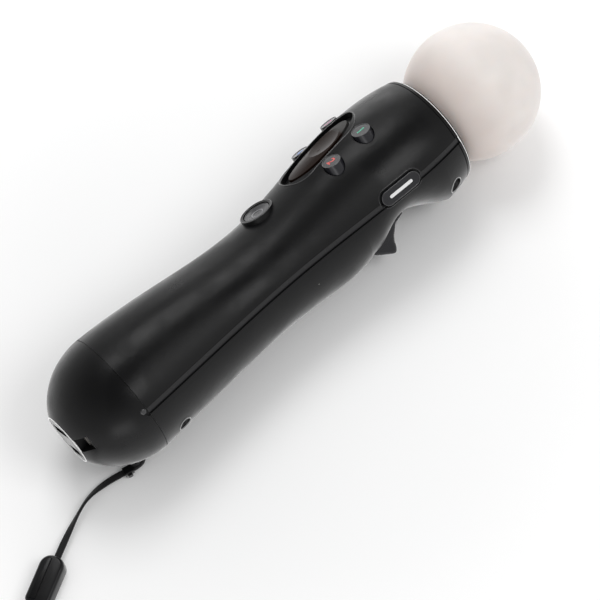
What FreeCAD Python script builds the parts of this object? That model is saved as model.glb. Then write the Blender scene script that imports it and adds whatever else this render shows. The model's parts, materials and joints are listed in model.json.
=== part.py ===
"""A wand-shaped game controller with a glowing ball, lying on a table with its wrist strap.

Every piece is drawn in the controller's own axes, in millimetres. The ball's centre is the
origin and +X runs along the handle towards the ball's far side. +Z is the front, with the
buttons, and -Y is the right-hand side. A station is a distance from the ball's centre towards
the tail, so it lies at x = -station. One placement at the end lays the whole thing down.
"""
import FreeCAD, Part
import math
import os
import re
import Sketcher
from FreeCAD import Matrix, Placement, Rotation, Vector

# Driving dimensions

SIZES = {
    # the ball and the head of the casing
    "ball_radius": 23.0,
    "ball_wall": 1.6,
    "neck_radius": 11.5,
    "neck_end": 26.8,
    "neck_show": 0.38,
    "rim_station": 20.3,
    "rim_radius": 20.0,
    "head_station": 35.0,
    "head_radius": 22.2,
    # the handle, narrow at the waist and wide at the tail
    "grip_station": 64.5,
    "grip_radius": 20.0,
    "heel_station": 72.5,
    "heel_depth": 20.9,
    "waist_station": 90.0,
    "waist_side": 17.9,
    "waist_front": 16.3,
    "waist_rear": 19.9,
    "palm_station": 122.0,
    "palm_side": 19.2,
    "palm_front": 18.8,
    "palm_rear": 20.0,
    "seam_station": 154.5,
    "seam_radius": 21.8,
    "end_station": 177.0,
    "dome_length": 24.6,
    "shell_wall": 2.0,
    "split_drop": 1.0,
    "rest_beyond": 1.5,
    # the scoop for the finger, behind the head
    "scoop_station": 30.2,
    "scoop_near_depth": 16.4,
    "scoop_middle": 48.5,
    "scoop_depth": 12.9,
    "scoop_far_depth": 16.8,
    # the channel along the joint between the two shells
    "channel_width": 2.3,
    "channel_depth": 0.8,
    "notch_radius": 1.5,
    "line_width": 0.35,
    "line_depth": 0.3,
    "rim_line_station": 21.5,
    # clearances
    "moving_gap": 0.3,
    "seat_gap": 0.1,
    "pin_gap": 0.05,
    # the ball's seat, its light and its board
    "seat_lip_radius": 19.3,
    "seat_lip_rise": 0.6,
    "seat_lip_depth": 1.0,
    "seat_disc_radius": 17.7,
    "seat_disc_end": 24.2,
    "seat_hub_wall": 1.1,
    "seat_floor": 1.6,
    "seat_hole_radius": 9.0,
    "guide_radius": 8.6,
    "guide_wall": 1.0,
    "guide_flange": 1.0,
    "guide_straight": 3.2,
    "led_board_thick": 1.6,
    "led_size": 3.2,
    "led_height": 0.9,
    # the big oval button on the front
    "move_station": 56.0,
    "move_length": 27.0,
    "move_width": 10.8,
    "bezel_length": 33.0,
    "bezel_width": 15.5,
    "bezel_depth": 1.9,
    "bezel_floor": 1.9,
    "bezel_beyond": 5.0,
    "move_sink": 0.9,
    "move_dish_radius": 30.0,
    "move_dish_depth": 0.7,
    "move_flange_level": 12.4,
    "move_flange_rim": 1.3,
    "move_post_radius": 3.0,
    # the four small round buttons
    "face_radius": 3.25,
    "face_offset": 11.6,
    "face_upper_station": 44.1,
    "face_lower_station": 58.0,
    "face_rise": 1.2,
    "face_slope": 12.0,
    "face_ear_reach": 4.1,
    "face_ear_width": 4.0,
    "flange_thick": 0.8,
    "guide_tube_wall": 0.9,
    # the round button in the middle of the handle
    "home_station": 84.6,
    "home_radius": 4.65,
    "home_level": 17.1,
    "home_dish_radius": 12.0,
    "home_dish_depth": 0.6,
    "home_ring_width": 1.1,
    "home_ring_level": 17.5,
    "home_flange_level": 12.6,
    "home_flange_radius": 5.6,
    "home_stem_radius": 2.4,
    # the pill-shaped buttons, one on each side
    "pill_station": 47.0,
    "pill_height": 0.2,
    "pill_length": 15.0,
    "pill_width": 5.1,
    "pill_proud": 0.35,
    "pill_flange_reach": 17.8,
    "pill_flange_rim": 1.0,
    "pill_flange_thick": 0.8,
    "pad_half_length": 5.5,
    # travel of the buttons
    "front_travel": 0.8,
    "home_travel": 0.5,
    "pill_travel": 0.5,
    # the frame, its board and the rubber mat under the buttons
    "frame_top": 6.8,
    "frame_thick": 1.8,
    "frame_start": 31.0,
    "frame_end": 149.7,
    "frame_head_half": 15.3,
    "frame_waist_half": 12.5,
    "frame_tail_half": 16.4,
    "board_thick": 1.2,
    "board_start": 33.5,
    "board_end": 122.0,
    "board_head_half": 14.3,
    "board_waist_half": 11.5,
    "mat_thick": 0.7,
    "mat_start": 38.5,
    "mat_end": 91.0,
    "mat_waist_half": 8.0,
    "neck_margin": 2.0,
    "frame_taper": 10.0,
    "mat_taper": 7.0,
    "palm_margin": 4.0,
    "post_margin": 1.0,
    "arm_margin": 1.7,
    "bulkhead_half": 8.0,
    "cheek_depth": 4.0,
    "cheek_reach": 8.6,
    "chip_size": 9.0,
    "chip_height": 1.0,
    "chip_gap": 5.0,
    "dome_rise": 0.65,
    "dome_radius": 2.3,
    "press_gap": 0.05,
    "board_screw_radius": 0.7,
    "board_screw_head": 1.4,
    "screw_inset_along": 3.0,
    "screw_inset_across": 2.4,
    # the posts and screws that close the shells
    "upper_post_station": 28.2,
    "upper_post_offset": 15.6,
    "lower_post_station": 146.4,
    "lower_post_offset": 13.6,
    "post_radius": 2.9,
    "well_radius": 2.3,
    "well_floor": -8.0,
    "screw_radius": 1.0,
    "screw_head_radius": 1.9,
    "screw_head_height": 1.3,
    "screw_end": 11.0,
    # the trigger and what carries it
    "pivot_station": 41.0,
    "pivot_depth": 8.5,
    "trigger_half": 7.1,
    "slot_half": 7.5,
    "slot_start": 45.5,
    "hub_radius": 3.1,
    "web_depth": 1.6,
    "pin_radius": 1.2,
    "finger_station": 49.8,
    "finger_depth": 14.9,
    "finger_round": 4.0,
    "tip_station": 54.9,
    "tip_depth": 23.8,
    "tip_round": 1.1,
    "tail_corner_station": 61.9,
    "tail_corner_depth": 19.1,
    "trigger_wall": 1.6,
    "trigger_beyond": 6.0,
    "hub_step": 0.7,
    "nose_round": 0.5,
    "nose_depth": 13.7,
    "ear_thick": 1.6,
    "ear_half_length": 2.4,
    "ear_end": 10.4,
    "spring_outer": 3.0,
    "spring_inner": 1.5,
    "spring_half": 2.2,
    # the battery and the rumble motor
    "battery_start": 74.0,
    "battery_length": 54.0,
    "battery_half": 11.0,
    "battery_top": -2.5,
    "battery_height": 10.0,
    "foam_half": 5.0,
    "foam_bottom": -15.9,
    "rail_thick": 1.6,
    "rail_margin": 2.0,
    "motor_gap": 3.0,
    "motor_length": 16.0,
    "motor_radius": 5.0,
    "motor_level": -5.0,
    "shaft_radius": 0.8,
    "shaft_length": 5.6,
    "weight_radius": 4.4,
    "weight_gap": 1.0,
    "weight_length": 4.0,
    # the tail cap, its sockets and its strap bar
    "sleeve_gap": 0.7,
    "sleeve_length": 3.6,
    "sleeve_wall": 1.3,
    "usb_height": -4.9,
    "usb_width": 7.7,
    "usb_tall": 3.0,
    "expansion_height": 3.7,
    "expansion_width": 10.0,
    "expansion_tall": 3.0,
    "socket_wall": 0.4,
    "socket_sink": 0.6,
    "socket_depth": 5.4,
    "port_board_start": 168.6,
    "port_board_thick": 1.2,
    "port_board_half": 9.0,
    "pocket_start": 173.2,
    "pocket_inner": 7.9,
    "pocket_half": 2.5,
    "pocket_wall": 1.5,
    "contact_thick": 0.4,
    "contact_reach": 10.6,
    "bar_station": 164.0,
    "bar_depth": 18.7,
    "bar_radius": 0.9,
    "eyelet_half_length": 3.5,
    "eyelet_half_width": 3.5,
    "eyelet_depth": 4.1,
    "eyelet_wall": 1.7,
    # the wrist strap: a thin looped cord, a crimp, a flat band, a slider and the wrist loop
    "loop_cord_radius": 0.6,
    "loop_drop": 5.2,
    "crimp_length": 3.2,
    "crimp_width": 3.0,
    "crimp_height": 2.2,
    "crimp_knob_radius": 0.8,
    "band_width": 2.3,
    "band_thick": 0.9,
    "slider_length": 18.5,
    "slider_width": 8.2,
    "slider_height": 5.0,
    "slider_nose_round": 2.8,
    "slider_tail_round": 1.2,
    "slider_edge_round": 1.0,
    "strand_offset": 1.5,
    "strand_lead": 10.0,
}

doc = FreeCAD.newDocument("MotionController")
sheet = doc.addObject("Spreadsheet::Sheet", "Sizes")
for row, (alias, number) in enumerate(SIZES.items(), start=1):
    sheet.set("A%d" % row, alias)
    sheet.set("B%d" % row, str(number))
    sheet.setAlias("B%d" % row, alias)
doc.recompute()

pieces = []
FAR = 60.0


def size(alias):
    """One driving dimension, read from the sheet."""
    return float(sheet.get(alias))


def tied(text):
    """The same formula with every dimension's name pointing at the sheet."""
    return re.sub(r"[a-z_]+", lambda word: "Sizes." + word.group(), text)


# Small helpers for bodies whose features are bound to the sheet

TURNS = {
    "x": Rotation(Vector(0, 1, 0), 90),
    "y": Rotation(Vector(1, 0, 0), -90),
    "z": Rotation(),
}


def new_body(name):
    body = doc.addObject("PartDesign::Body", name)
    body.Label = name
    pieces.append(body)
    return body


def place(feature, turn, base):
    feature.Placement = Placement(Vector(), turn)
    for axis, text in zip("xyz", base):
        feature.setExpression("Placement.Base." + axis, tied(text))


def drum(body, kind, name, radius, length, base, along):
    """A cylinder from base, running in the positive direction of one axis."""
    item = body.newObject("PartDesign::" + kind + "Cylinder", name)
    item.setExpression("Radius", tied(radius))
    item.setExpression("Height", tied(length))
    place(item, TURNS[along], base)
    return item


def block(body, kind, name, lengths, base):
    """A box from its lowest corner."""
    item = body.newObject("PartDesign::" + kind + "Box", name)
    for side, text in zip(("Length", "Width", "Height"), lengths):
        item.setExpression(side, tied(text))
    place(item, Rotation(), base)
    return item


def new_sketch(body, name, plane_role):
    sketch = body.newObject("Sketcher::SketchObject", name)
    plane = [item for item in body.Origin.OriginFeatures if item.Role == plane_role][0]
    sketch.AttachmentSupport = [(plane, "")]
    sketch.MapMode = "FlatFace"
    return sketch


def pin_down(sketch, index, position, text_x, text_y):
    """Hold one point of a sketch at two formulas from the sketch's origin."""
    for kind, text, axis in (("DistanceX", text_x, -2), ("DistanceY", text_y, -1)):
        if text == "0":
            sketch.addConstraint(Sketcher.Constraint("PointOnObject", index, position, axis))
        else:
            rule = Sketcher.Constraint(kind, -1, 1, index, position, 1.0)
            number = sketch.addConstraint(rule)
            sketch.setExpression("Constraints[%d]" % number, tied(text))


def outline(sketch, corners):
    """A closed outline of straight edges through corners given as formulas."""
    count = len(corners)
    first = []
    for index in range(count):
        angle = 2 * math.pi * index / count
        first.append(Vector(FAR * math.cos(angle), FAR * math.sin(angle), 0))
    for index in range(count):
        edge = Part.LineSegment(first[index], first[(index + 1) % count])
        sketch.addGeometry(edge, False)
    for index in range(count):
        after = (index + 1) % count
        sketch.addConstraint(Sketcher.Constraint("Coincident", index, 2, after, 1))
    for index, (text_x, text_y) in enumerate(corners):
        pin_down(sketch, index, 1, text_x, text_y)


def plate(body, name, corners, level, thickness):
    """A flat plate lying across the handle, from corners in x and y."""
    sketch = new_sketch(body, name + "_outline", "XY_Plane")
    outline(sketch, corners)
    sketch.setExpression("AttachmentOffset.Base.z", tied(level))
    pad = body.newObject("PartDesign::Pad", name)
    pad.Profile = sketch
    pad.setExpression("Length", tied(thickness))
    sketch.Visibility = False
    return pad


def revolved(body, name, corners):
    """A solid turned about the handle's axis, from corners in x and radius."""
    sketch = new_sketch(body, name + "_profile", "XZ_Plane")
    outline(sketch, corners)
    turned = body.newObject("PartDesign::Revolution", name)
    turned.Profile = sketch
    turned.ReferenceAxis = (sketch, ["H_Axis"])
    turned.Angle = 360
    sketch.Visibility = False
    return turned


# Small helpers for free forms, in plain shapes


def new_feature(name, shape):
    feature = doc.addObject("Part::Feature", name)
    feature.Label = name
    feature.Shape = shape
    pieces.append(feature)
    return feature


def span(start, end, count):
    """Evenly spaced numbers from start to end, both included."""
    return [start + (end - start) * index / (count - 1) for index in range(count)]


def follow(points):
    """A smooth curve through points, as a function of its first coordinate."""
    curve = Part.BSplineCurve()
    curve.interpolate([Vector(along, across, 0) for along, across in points])

    def height(along):
        low = curve.FirstParameter
        high = curve.LastParameter
        while high - low > 1e-9:
            middle = (low + high) / 2
            if curve.value(middle).x < along:
                low = middle
            else:
                high = middle
        return curve.value(low).y

    return height


side_of = follow([
    (size("rim_station"), size("rim_radius")),
    (size("head_station"), size("head_radius")),
    (size("grip_station"), size("grip_radius")),
    (size("waist_station"), size("waist_side")),
    (size("palm_station"), size("palm_side")),
    (size("seam_station"), size("seam_radius")),
])

front_of = follow([
    (size("rim_station"), size("rim_radius")),
    (size("head_station"), size("head_radius")),
    (size("grip_station"), size("grip_radius")),
    (size("waist_station"), size("waist_front")),
    (size("palm_station"), size("palm_front")),
    (size("seam_station"), size("seam_radius")),
])

scoop_of = follow([
    (size("scoop_station"), side_of(size("scoop_station"))),
    ((size("scoop_station") + size("scoop_middle")) / 2, size("scoop_near_depth")),
    (size("scoop_middle"), size("scoop_depth")),
    ((size("scoop_middle") + size("grip_station")) / 2, size("scoop_far_depth")),
    (size("grip_station"), size("grip_radius")),
])

handle_rear_of = follow([
    (size("grip_station"), size("grip_radius")),
    (size("heel_station"), size("heel_depth")),
    (size("waist_station"), size("waist_rear")),
    (size("palm_station"), size("palm_rear")),
    (size("seam_station"), size("seam_radius")),
])


def half_round(width, height, station):
    """Half an ellipse from +Y to -Y over the given height, which may be negative."""
    middle = Vector(0, 0, math.copysign(1, height))
    arc = Part.Arc(Vector(0, 1, 0), middle, Vector(0, -1, 0)).toShape()
    change = Matrix()
    change.scale(1, width, abs(height))
    change.move(Vector(-station, 0, 0))
    return arc.transformGeometry(change)


def form(stations, rear_of, inset):
    """A length of the casing's outer form, drawn in by inset all round."""
    sections = []
    for station in stations:
        width = side_of(station) - inset
        front = half_round(width, front_of(station) - inset, station)
        rear = half_round(width, inset - rear_of(station), station)
        sections.append(Part.Wire([front, rear]))
    return Part.makeLoft(sections, True, False)


def whole_form(inset, count=13):
    stations = span(size("rim_station"), size("seam_station"), count)
    return form(stations, side_of, inset)


def rear_form(inset):
    """The rear's form: the head, the finger scoop with its sharp brow, and the handle."""
    head = form(span(size("rim_station"), size("scoop_station"), 3), side_of, inset)
    scoop = form(span(size("scoop_station"), size("grip_station"), 8), scoop_of, inset)
    handle = form(span(size("grip_station"), size("seam_station"), 9), handle_rear_of, inset)
    return head.fuse([scoop, handle])


def box(x_range, y_range, z_range):
    corner = Vector(x_range[0], y_range[0], z_range[0])
    lengths = [end - start for start, end in (x_range, y_range, z_range)]
    return Part.makeBox(*lengths, corner)


def rod(radius, start, end):
    """A cylinder between two points."""
    way = end.sub(start)
    return Part.makeCylinder(radius, way.Length, start, way)


def oval(station, length, width, low, high):
    """An upright elliptical column."""
    curve = Part.Ellipse(Vector(-station, 0, low), length / 2, width / 2)
    face = Part.Face(Part.Wire(curve.toShape()))
    return face.extrude(Vector(0, 0, high - low))


def pill_column(length, width, start, end):
    """A stadium-shaped column along Y, between two distances from the axis plane."""
    centre = Vector(-size("pill_station"), 0, size("pill_height"))
    half = (length - width) / 2
    core = box(
        (centre.x - half, centre.x + half),
        (min(start, end), max(start, end)),
        (centre.z - width / 2, centre.z + width / 2),
    )
    ends = []
    for side in (-1, 1):
        base = Vector(centre.x + side * half, start, centre.z)
        ends.append(rod(width / 2, base, Vector(base.x, end, base.z)))
    return core.fuse(ends).removeSplitter()


def surface_height(station, offset):
    """How far in front of the axis the casing's skin lies, beside the middle line."""
    share = offset / side_of(station)
    return front_of(station) * math.sqrt(1 - share * share)


def half_space(upper):
    low = -size("split_drop") if upper else -FAR
    high = FAR if upper else -size("split_drop")
    return box((-4 * FAR, FAR), (-FAR, FAR), (low, high))


def channel(upper):
    """The shallow channel that one shell leaves along the joint."""
    middle = -size("split_drop")
    half = size("channel_width") / 2
    levels = (middle, middle + half) if upper else (middle - half, middle)
    slab = box((-size("seam_station"), -size("rim_station")), (-FAR, FAR), levels)
    return slab.cut(whole_form(size("channel_depth")))


def pill_opening(side):
    gap = 2 * size("moving_gap")
    length = size("pill_length") + gap
    width = size("pill_width") + gap
    return pill_column(length, width, side * size("grip_radius") / 2, side * FAR / 2)


def posts():
    """The four screw posts, as station and offset."""
    places = []
    for level in ("upper", "lower"):
        for side in (-1, 1):
            station = size(level + "_post_station")
            places.append((-station, side * size(level + "_post_offset")))
    return places


FACE_BUTTONS = {
    "face_button_one": ("face_upper_station", -1),
    "face_button_two": ("face_lower_station", -1),
    "face_button_three": ("face_upper_station", 1),
    "face_button_four": ("face_lower_station", 1),
}


def board_top():
    return size("frame_top") + size("board_thick")


def dome_top():
    return board_top() + size("mat_thick") + size("dome_rise")


def front_foot():
    """Where the stems of the front buttons end, a travel above the rubber domes."""
    return dome_top() + size("front_travel") + size("press_gap")


def guide_tube_level():
    return front_foot() + size("flange_thick") + size("seat_gap")


# The two shells


def rim_rebate():
    """The step in the rim that holds the lip of the ball's seat."""
    radius = size("seat_lip_radius") + size("seat_gap")
    start = Vector(-size("rim_station") + 1, 0, 0)
    end = Vector(-size("rim_station") - size("seat_lip_depth"), 0, 0)
    return rod(radius, start, end)


def rim_line(shape):
    """The fine line round the head, a little behind the rim. The shape is a form sunk by its depth."""
    start = -size("rim_line_station")
    slab = box((start - size("line_width"), start), (-FAR, FAR), (-FAR, FAR))
    return slab.cut(shape)


def front_posts():
    low = size("frame_top")
    high = size("head_radius")
    shapes = []
    for x, y in posts():
        shapes.append(rod(size("post_radius"), Vector(x, y, low), Vector(x, y, high)))
    return shapes


def face_button_guides(radius, low, high):
    shapes = []
    for station_name, side in FACE_BUTTONS.values():
        x = -size(station_name)
        y = side * size("face_offset")
        shapes.append(rod(radius, Vector(x, y, low), Vector(x, y, high)))
    return shapes


def make_front_shell():
    outer = whole_form(0)
    wall = outer.cut(whole_form(size("shell_wall")))

    gap = size("moving_gap")
    high = FAR / 2
    hole = size("face_radius") + gap
    tube = hole + size("guide_tube_wall")
    low = guide_tube_level()

    bezel_stations = span(size("scoop_station"), size("heel_station") + size("bezel_beyond"), 6)
    depth = size("bezel_depth")
    bezel_plug = oval(size("move_station"), size("bezel_length") + 2 * size("shell_wall"),
                      size("bezel_width") + 2 * size("shell_wall"), low, high)
    bezel_plug = bezel_plug.cut(form(bezel_stations, side_of, depth + size("bezel_floor")))

    home_x = -size("home_station")
    home_hole = size("home_radius") + gap
    ring_top = Vector(home_x, 0, size("home_ring_level"))
    flange_top = size("home_flange_level") + size("pill_flange_thick") + size("seat_gap")
    ring = rod(home_hole + size("home_ring_width"), Vector(home_x, 0, flange_top), ring_top)

    grown = front_posts() + face_button_guides(tube, low, high) + [bezel_plug]
    inside = grown[0].fuse(grown[1:]).common(outer)
    shell = wall.fuse([inside, ring]).common(half_space(True))

    bezel = oval(size("move_station"), size("bezel_length"), size("bezel_width"), low, high)
    bezel = bezel.cut(form(bezel_stations, side_of, depth))
    cuts = [bezel, channel(True), rim_rebate(), pill_opening(-1), pill_opening(1)]
    cuts.append(rim_line(whole_form(size("line_depth"))))
    cuts.append(oval(size("move_station"), size("move_length") + 2 * gap,
                     size("move_width") + 2 * gap, low - 1, high))
    cuts += face_button_guides(hole, low - 1, high)
    cuts.append(rod(home_hole, Vector(home_x, 0, flange_top - 1), Vector(home_x, 0, high)))
    pilot = size("screw_radius") + size("pin_gap")
    for x, y in posts():
        top = Vector(x, y, size("screw_end") + 2 * size("seat_gap"))
        cuts.append(rod(pilot, Vector(x, y, size("frame_top") - 1), top))
    return new_feature("front_shell", shell.cut(cuts))


def pivot():
    return Vector(-size("pivot_station"), 0, -size("pivot_depth"))


def trigger_reach():
    """How far the trigger's tail end stands from its pin."""
    along = size("tail_corner_station") - size("pivot_station")
    deep = size("tail_corner_depth") - size("pivot_depth")
    return math.hypot(along, deep)


def make_rear_shell():
    outer = rear_form(0)
    wall = outer.cut(rear_form(size("shell_wall")))
    floor = size("well_floor")
    frame_bottom = size("frame_top") - size("frame_thick")
    shapes = []
    for x, y in posts():
        start = Vector(x, y, -size("head_radius"))
        shapes.append(rod(size("post_radius"), start, Vector(x, y, 0)))
    tubes = shapes[0].fuse(shapes[1:]).common(outer)
    shell = wall.fuse(tubes).common(half_space(False))
    sleeves = []
    cuts = [channel(False), rim_rebate(), pill_opening(-1), pill_opening(1)]
    cuts.append(rim_line(rear_form(size("line_depth"))))
    for x, y in posts():
        start = Vector(x, y, -size("split_drop") - 1)
        sleeves.append(rod(size("post_radius"), start, Vector(x, y, frame_bottom)))
        deep = Vector(x, y, -FAR)
        cuts.append(rod(size("well_radius"), deep, Vector(x, y, floor)))
        bore = size("screw_radius") + size("pin_gap")
        cuts.append(rod(bore, deep, Vector(x, y, frame_bottom + 1)))
    shell = shell.fuse(sleeves)

    half = size("slot_half")
    reach = trigger_reach() + size("moving_gap")
    centre = pivot()
    around = rod(reach, Vector(centre.x, -half, centre.z), Vector(centre.x, half, centre.z))
    window = box((-size("heel_station"), -size("slot_start")), (-half, half),
                 (-FAR, -size("split_drop")))
    cuts.append(window.common(around))
    return new_feature("rear_shell", shell.cut(cuts))


# The ball, its seat and its light


def ball_centre():
    """The ball stands on its neck, with a little of the neck showing over the rim."""
    sunk = math.sqrt(size("ball_radius") ** 2 - size("neck_radius") ** 2)
    return Vector(sunk + size("neck_show") - size("rim_station"), 0, 0)


def make_ball():
    radius = size("ball_radius")
    wall = size("ball_wall")
    neck = size("neck_radius")
    centre = ball_centre()
    end = Vector(-size("neck_end"), 0, 0)
    solid = Part.makeSphere(radius, centre).fuse(rod(neck, centre, end))
    hollow = Part.makeSphere(radius - wall, centre)
    beyond = Vector(end.x - 1, 0, 0)
    hollow = hollow.fuse(rod(neck - wall * 0.75, centre, beyond))
    return new_feature("ball", solid.cut(hollow).removeSplitter())


def make_ball_seat():
    body = new_body("ball_seat")
    top = "-(rim_station - seat_lip_rise)"
    low_top = "-(rim_station + moving_gap)"
    step = "-(rim_station + seat_lip_depth)"
    bore = "(neck_radius + moving_gap)"
    hub = "(neck_radius + seat_hub_wall)"
    floor_end = "-(neck_end + seat_floor)"
    end = "-frame_start"
    revolved(body, "seat_turned", [
        (low_top, bore),
        (top, "seat_lip_radius"),
        (step, "seat_lip_radius"),
        (step, "seat_disc_radius"),
        ("-seat_disc_end", "seat_disc_radius"),
        ("-seat_disc_end", hub),
        (end, hub),
        (end, "(neck_radius - seat_gap)"),
        (floor_end, "(neck_radius - seat_gap)"),
        (floor_end, "seat_hole_radius"),
        ("-neck_end", "seat_hole_radius"),
        ("-neck_end", bore),
    ])


def make_light_guide():
    body = new_body("light_guide")
    start = "-(neck_end + seat_floor + guide_flange)"
    middle = "-(neck_end + seat_floor - guide_straight)"
    drum(body, "Additive", "guide_flange_disc", "neck_radius - 3 * seat_gap", "guide_flange",
         (start, "0", "0"), "x")
    drum(body, "Additive", "guide_tube", "guide_radius", "guide_flange + guide_straight",
         (start, "0", "0"), "x")
    dome = body.newObject("PartDesign::AdditiveSphere", "guide_dome")
    dome.setExpression("Radius", tied("guide_radius"))
    dome.Angle1 = 0
    place(dome, TURNS["x"], (middle, "0", "0"))
    drum(body, "Subtractive", "guide_bore", "guide_radius - guide_wall",
         "guide_flange + guide_straight", (start, "0", "0"), "x")
    hollow = body.newObject("PartDesign::SubtractiveSphere", "guide_hollow")
    hollow.setExpression("Radius", tied("guide_radius - guide_wall"))
    hollow.Angle1 = 0
    place(hollow, TURNS["x"], (middle, "0", "0"))


def make_led_board():
    body = new_body("led_board")
    drum(body, "Additive", "led_disc", "neck_radius - 3 * seat_gap", "led_board_thick",
         ("-frame_start", "0", "0"), "x")
    block(body, "Additive", "led_chip", ("led_height", "led_size", "led_size"),
          ("led_board_thick - frame_start", "-led_size / 2", "-led_size / 2"))


# The buttons


def make_move_button():
    foot = front_foot()
    level = size("move_flange_level")
    station = size("move_station")
    stations = span(size("scoop_station"), size("heel_station") + size("bezel_beyond"), 6)
    cap = oval(station, size("move_length"), size("move_width"), level, FAR / 2)
    cap = cap.common(form(stations, side_of, size("move_sink")))
    dish = size("move_dish_radius")
    deepest = front_of(station) - size("move_sink") - size("move_dish_depth")
    cap = cap.cut(Part.makeSphere(dish, Vector(-station, 0, deepest + dish)))
    rim = 2 * size("move_flange_rim")
    flange = oval(station, size("move_length") + rim, size("move_width") + rim, level,
                  level + size("flange_thick"))
    post = rod(size("move_post_radius"), Vector(-station, 0, foot), Vector(-station, 0, level))
    return new_feature("move_button", cap.fuse([flange, post]).removeSplitter())


def make_face_button(name, station_name, side):
    station = size(station_name)
    y = side * size("face_offset")
    foot = front_foot()
    top = surface_height(station, size("face_offset")) + size("face_rise")
    stem = rod(size("face_radius"), Vector(-station, y, foot), Vector(-station, y, FAR / 2))
    away = box((-FAR, FAR), (-FAR, FAR), (0, FAR))
    tilt = Rotation(Vector(1, 0, 0), -side * size("face_slope"))
    away.Placement = Placement(Vector(-station, y, top), tilt)
    stem = stem.cut(away)
    reach = size("face_ear_reach")
    half = size("face_ear_width") / 2
    ears = box((-station - reach, -station + reach), (y - half, y + half),
               (foot, foot + size("flange_thick")))
    return new_feature(name, stem.fuse(ears).removeSplitter())


def make_home_button():
    body = new_body("home_button")
    x = "-home_station"
    foot = "(frame_top + board_thick + mat_thick + dome_rise + home_travel + press_gap)"
    drum(body, "Additive", "home_stem", "home_stem_radius", "home_flange_level - " + foot,
         (x, "0", foot), "z")
    drum(body, "Additive", "home_flange", "home_flange_radius", "pill_flange_thick",
         (x, "0", "home_flange_level"), "z")
    drum(body, "Additive", "home_cap", "home_radius", "home_level - home_flange_level",
         (x, "0", "home_flange_level"), "z")
    dish = body.newObject("PartDesign::SubtractiveSphere", "home_dish")
    dish.setExpression("Radius", tied("home_dish_radius"))
    place(dish, Rotation(), (x, "0", "home_level + home_dish_radius - home_dish_depth"))


def make_pill_button(name, side):
    outside = side * FAR / 2
    reach = side * size("pill_flange_reach")
    cap = pill_column(size("pill_length"), size("pill_width"), reach, outside)
    near = size("pill_station") - size("pill_length")
    far = size("pill_station") + size("pill_length")
    skin = form(span(near, far, 4), side_of, -size("pill_proud"))
    cap = cap.common(skin)
    rim = 2 * size("pill_flange_rim")
    inner = reach - side * size("pill_flange_thick")
    flange = pill_column(size("pill_length") + rim, size("pill_width") + rim, inner, reach)
    return new_feature(name, cap.fuse(flange).removeSplitter())


def make_pill_pad(name, side):
    """The rubber dome behind a side button, standing on the frame's side wall."""
    body = new_body(name)
    face = "frame_head_half"
    rest = "pill_flange_reach - pill_flange_thick - pill_travel - press_gap"
    depth = rest + " - (" + face + ")"
    y = face if side > 0 else "-(" + rest + ")"
    block(body, "Additive", name + "_block",
          ("2 * pad_half_length", depth, "pill_width"),
          ("-(pill_station + pad_half_length)", y, "pill_height - pill_width / 2"))


# The trigger and what carries it


def spot(station, depth):
    """A point in the middle plane, behind the handle's axis."""
    return Vector(-station, 0, -depth)


def rounded(corners):
    """A closed outline through corners, each given as a point and the radius that rounds it."""
    count = len(corners)
    starts = []
    edges = []
    for index, (corner, radius) in enumerate(corners):
        back = (corners[index - 1][0].sub(corner)).normalize()
        ahead = (corners[(index + 1) % count][0].sub(corner)).normalize()
        if radius == 0:
            starts.append((corner, corner))
            continue
        half = back.getAngle(ahead) / 2
        reach = radius / math.tan(half)
        begin = corner.add(Vector(back).multiply(reach))
        finish = corner.add(Vector(ahead).multiply(reach))
        inward = back.add(ahead).normalize()
        middle = corner.add(inward.multiply(radius / math.sin(half) - radius))
        edges.append(Part.Arc(begin, middle, finish).toShape())
        starts.append((begin, finish))
    for index in range(count):
        begin = starts[index][1]
        finish = starts[(index + 1) % count][0]
        edges.append(Part.LineSegment(begin, finish).toShape())
    return Part.Wire(Part.__sortEdges__(edges))


def trigger_side():
    """The trigger's side view, with its round tail end struck about the pin."""
    start = size("slot_start") + size("moving_gap")
    centre = pivot()
    web = size("pivot_depth") + size("web_depth")
    past = size("trigger_beyond")
    beyond = size("tail_corner_station") + past
    slope = (size("tip_depth") - size("tail_corner_depth")) / (
        size("tail_corner_station") - size("tip_station"))
    beyond_depth = size("tail_corner_depth") - past * slope
    shallow = size("pivot_depth") - size("hub_step")
    outer = rounded([
        (spot(size("pivot_station"), web), 0),
        (spot(start, web), 0),
        (spot(start, size("nose_depth")), size("nose_round")),
        (spot(size("finger_station"), size("finger_depth")), size("finger_round")),
        (spot(size("tip_station"), size("tip_depth")), size("tip_round")),
        (spot(beyond, beyond_depth), 0),
        (spot(beyond, shallow), 0),
        (spot(size("pivot_station"), size("pivot_depth") - size("hub_radius")), 0),
    ])
    around = Part.Circle(centre, Vector(0, 1, 0), trigger_reach()).toShape()
    return Part.Face(outer).common(Part.Face(Part.Wire(around)))


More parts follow.
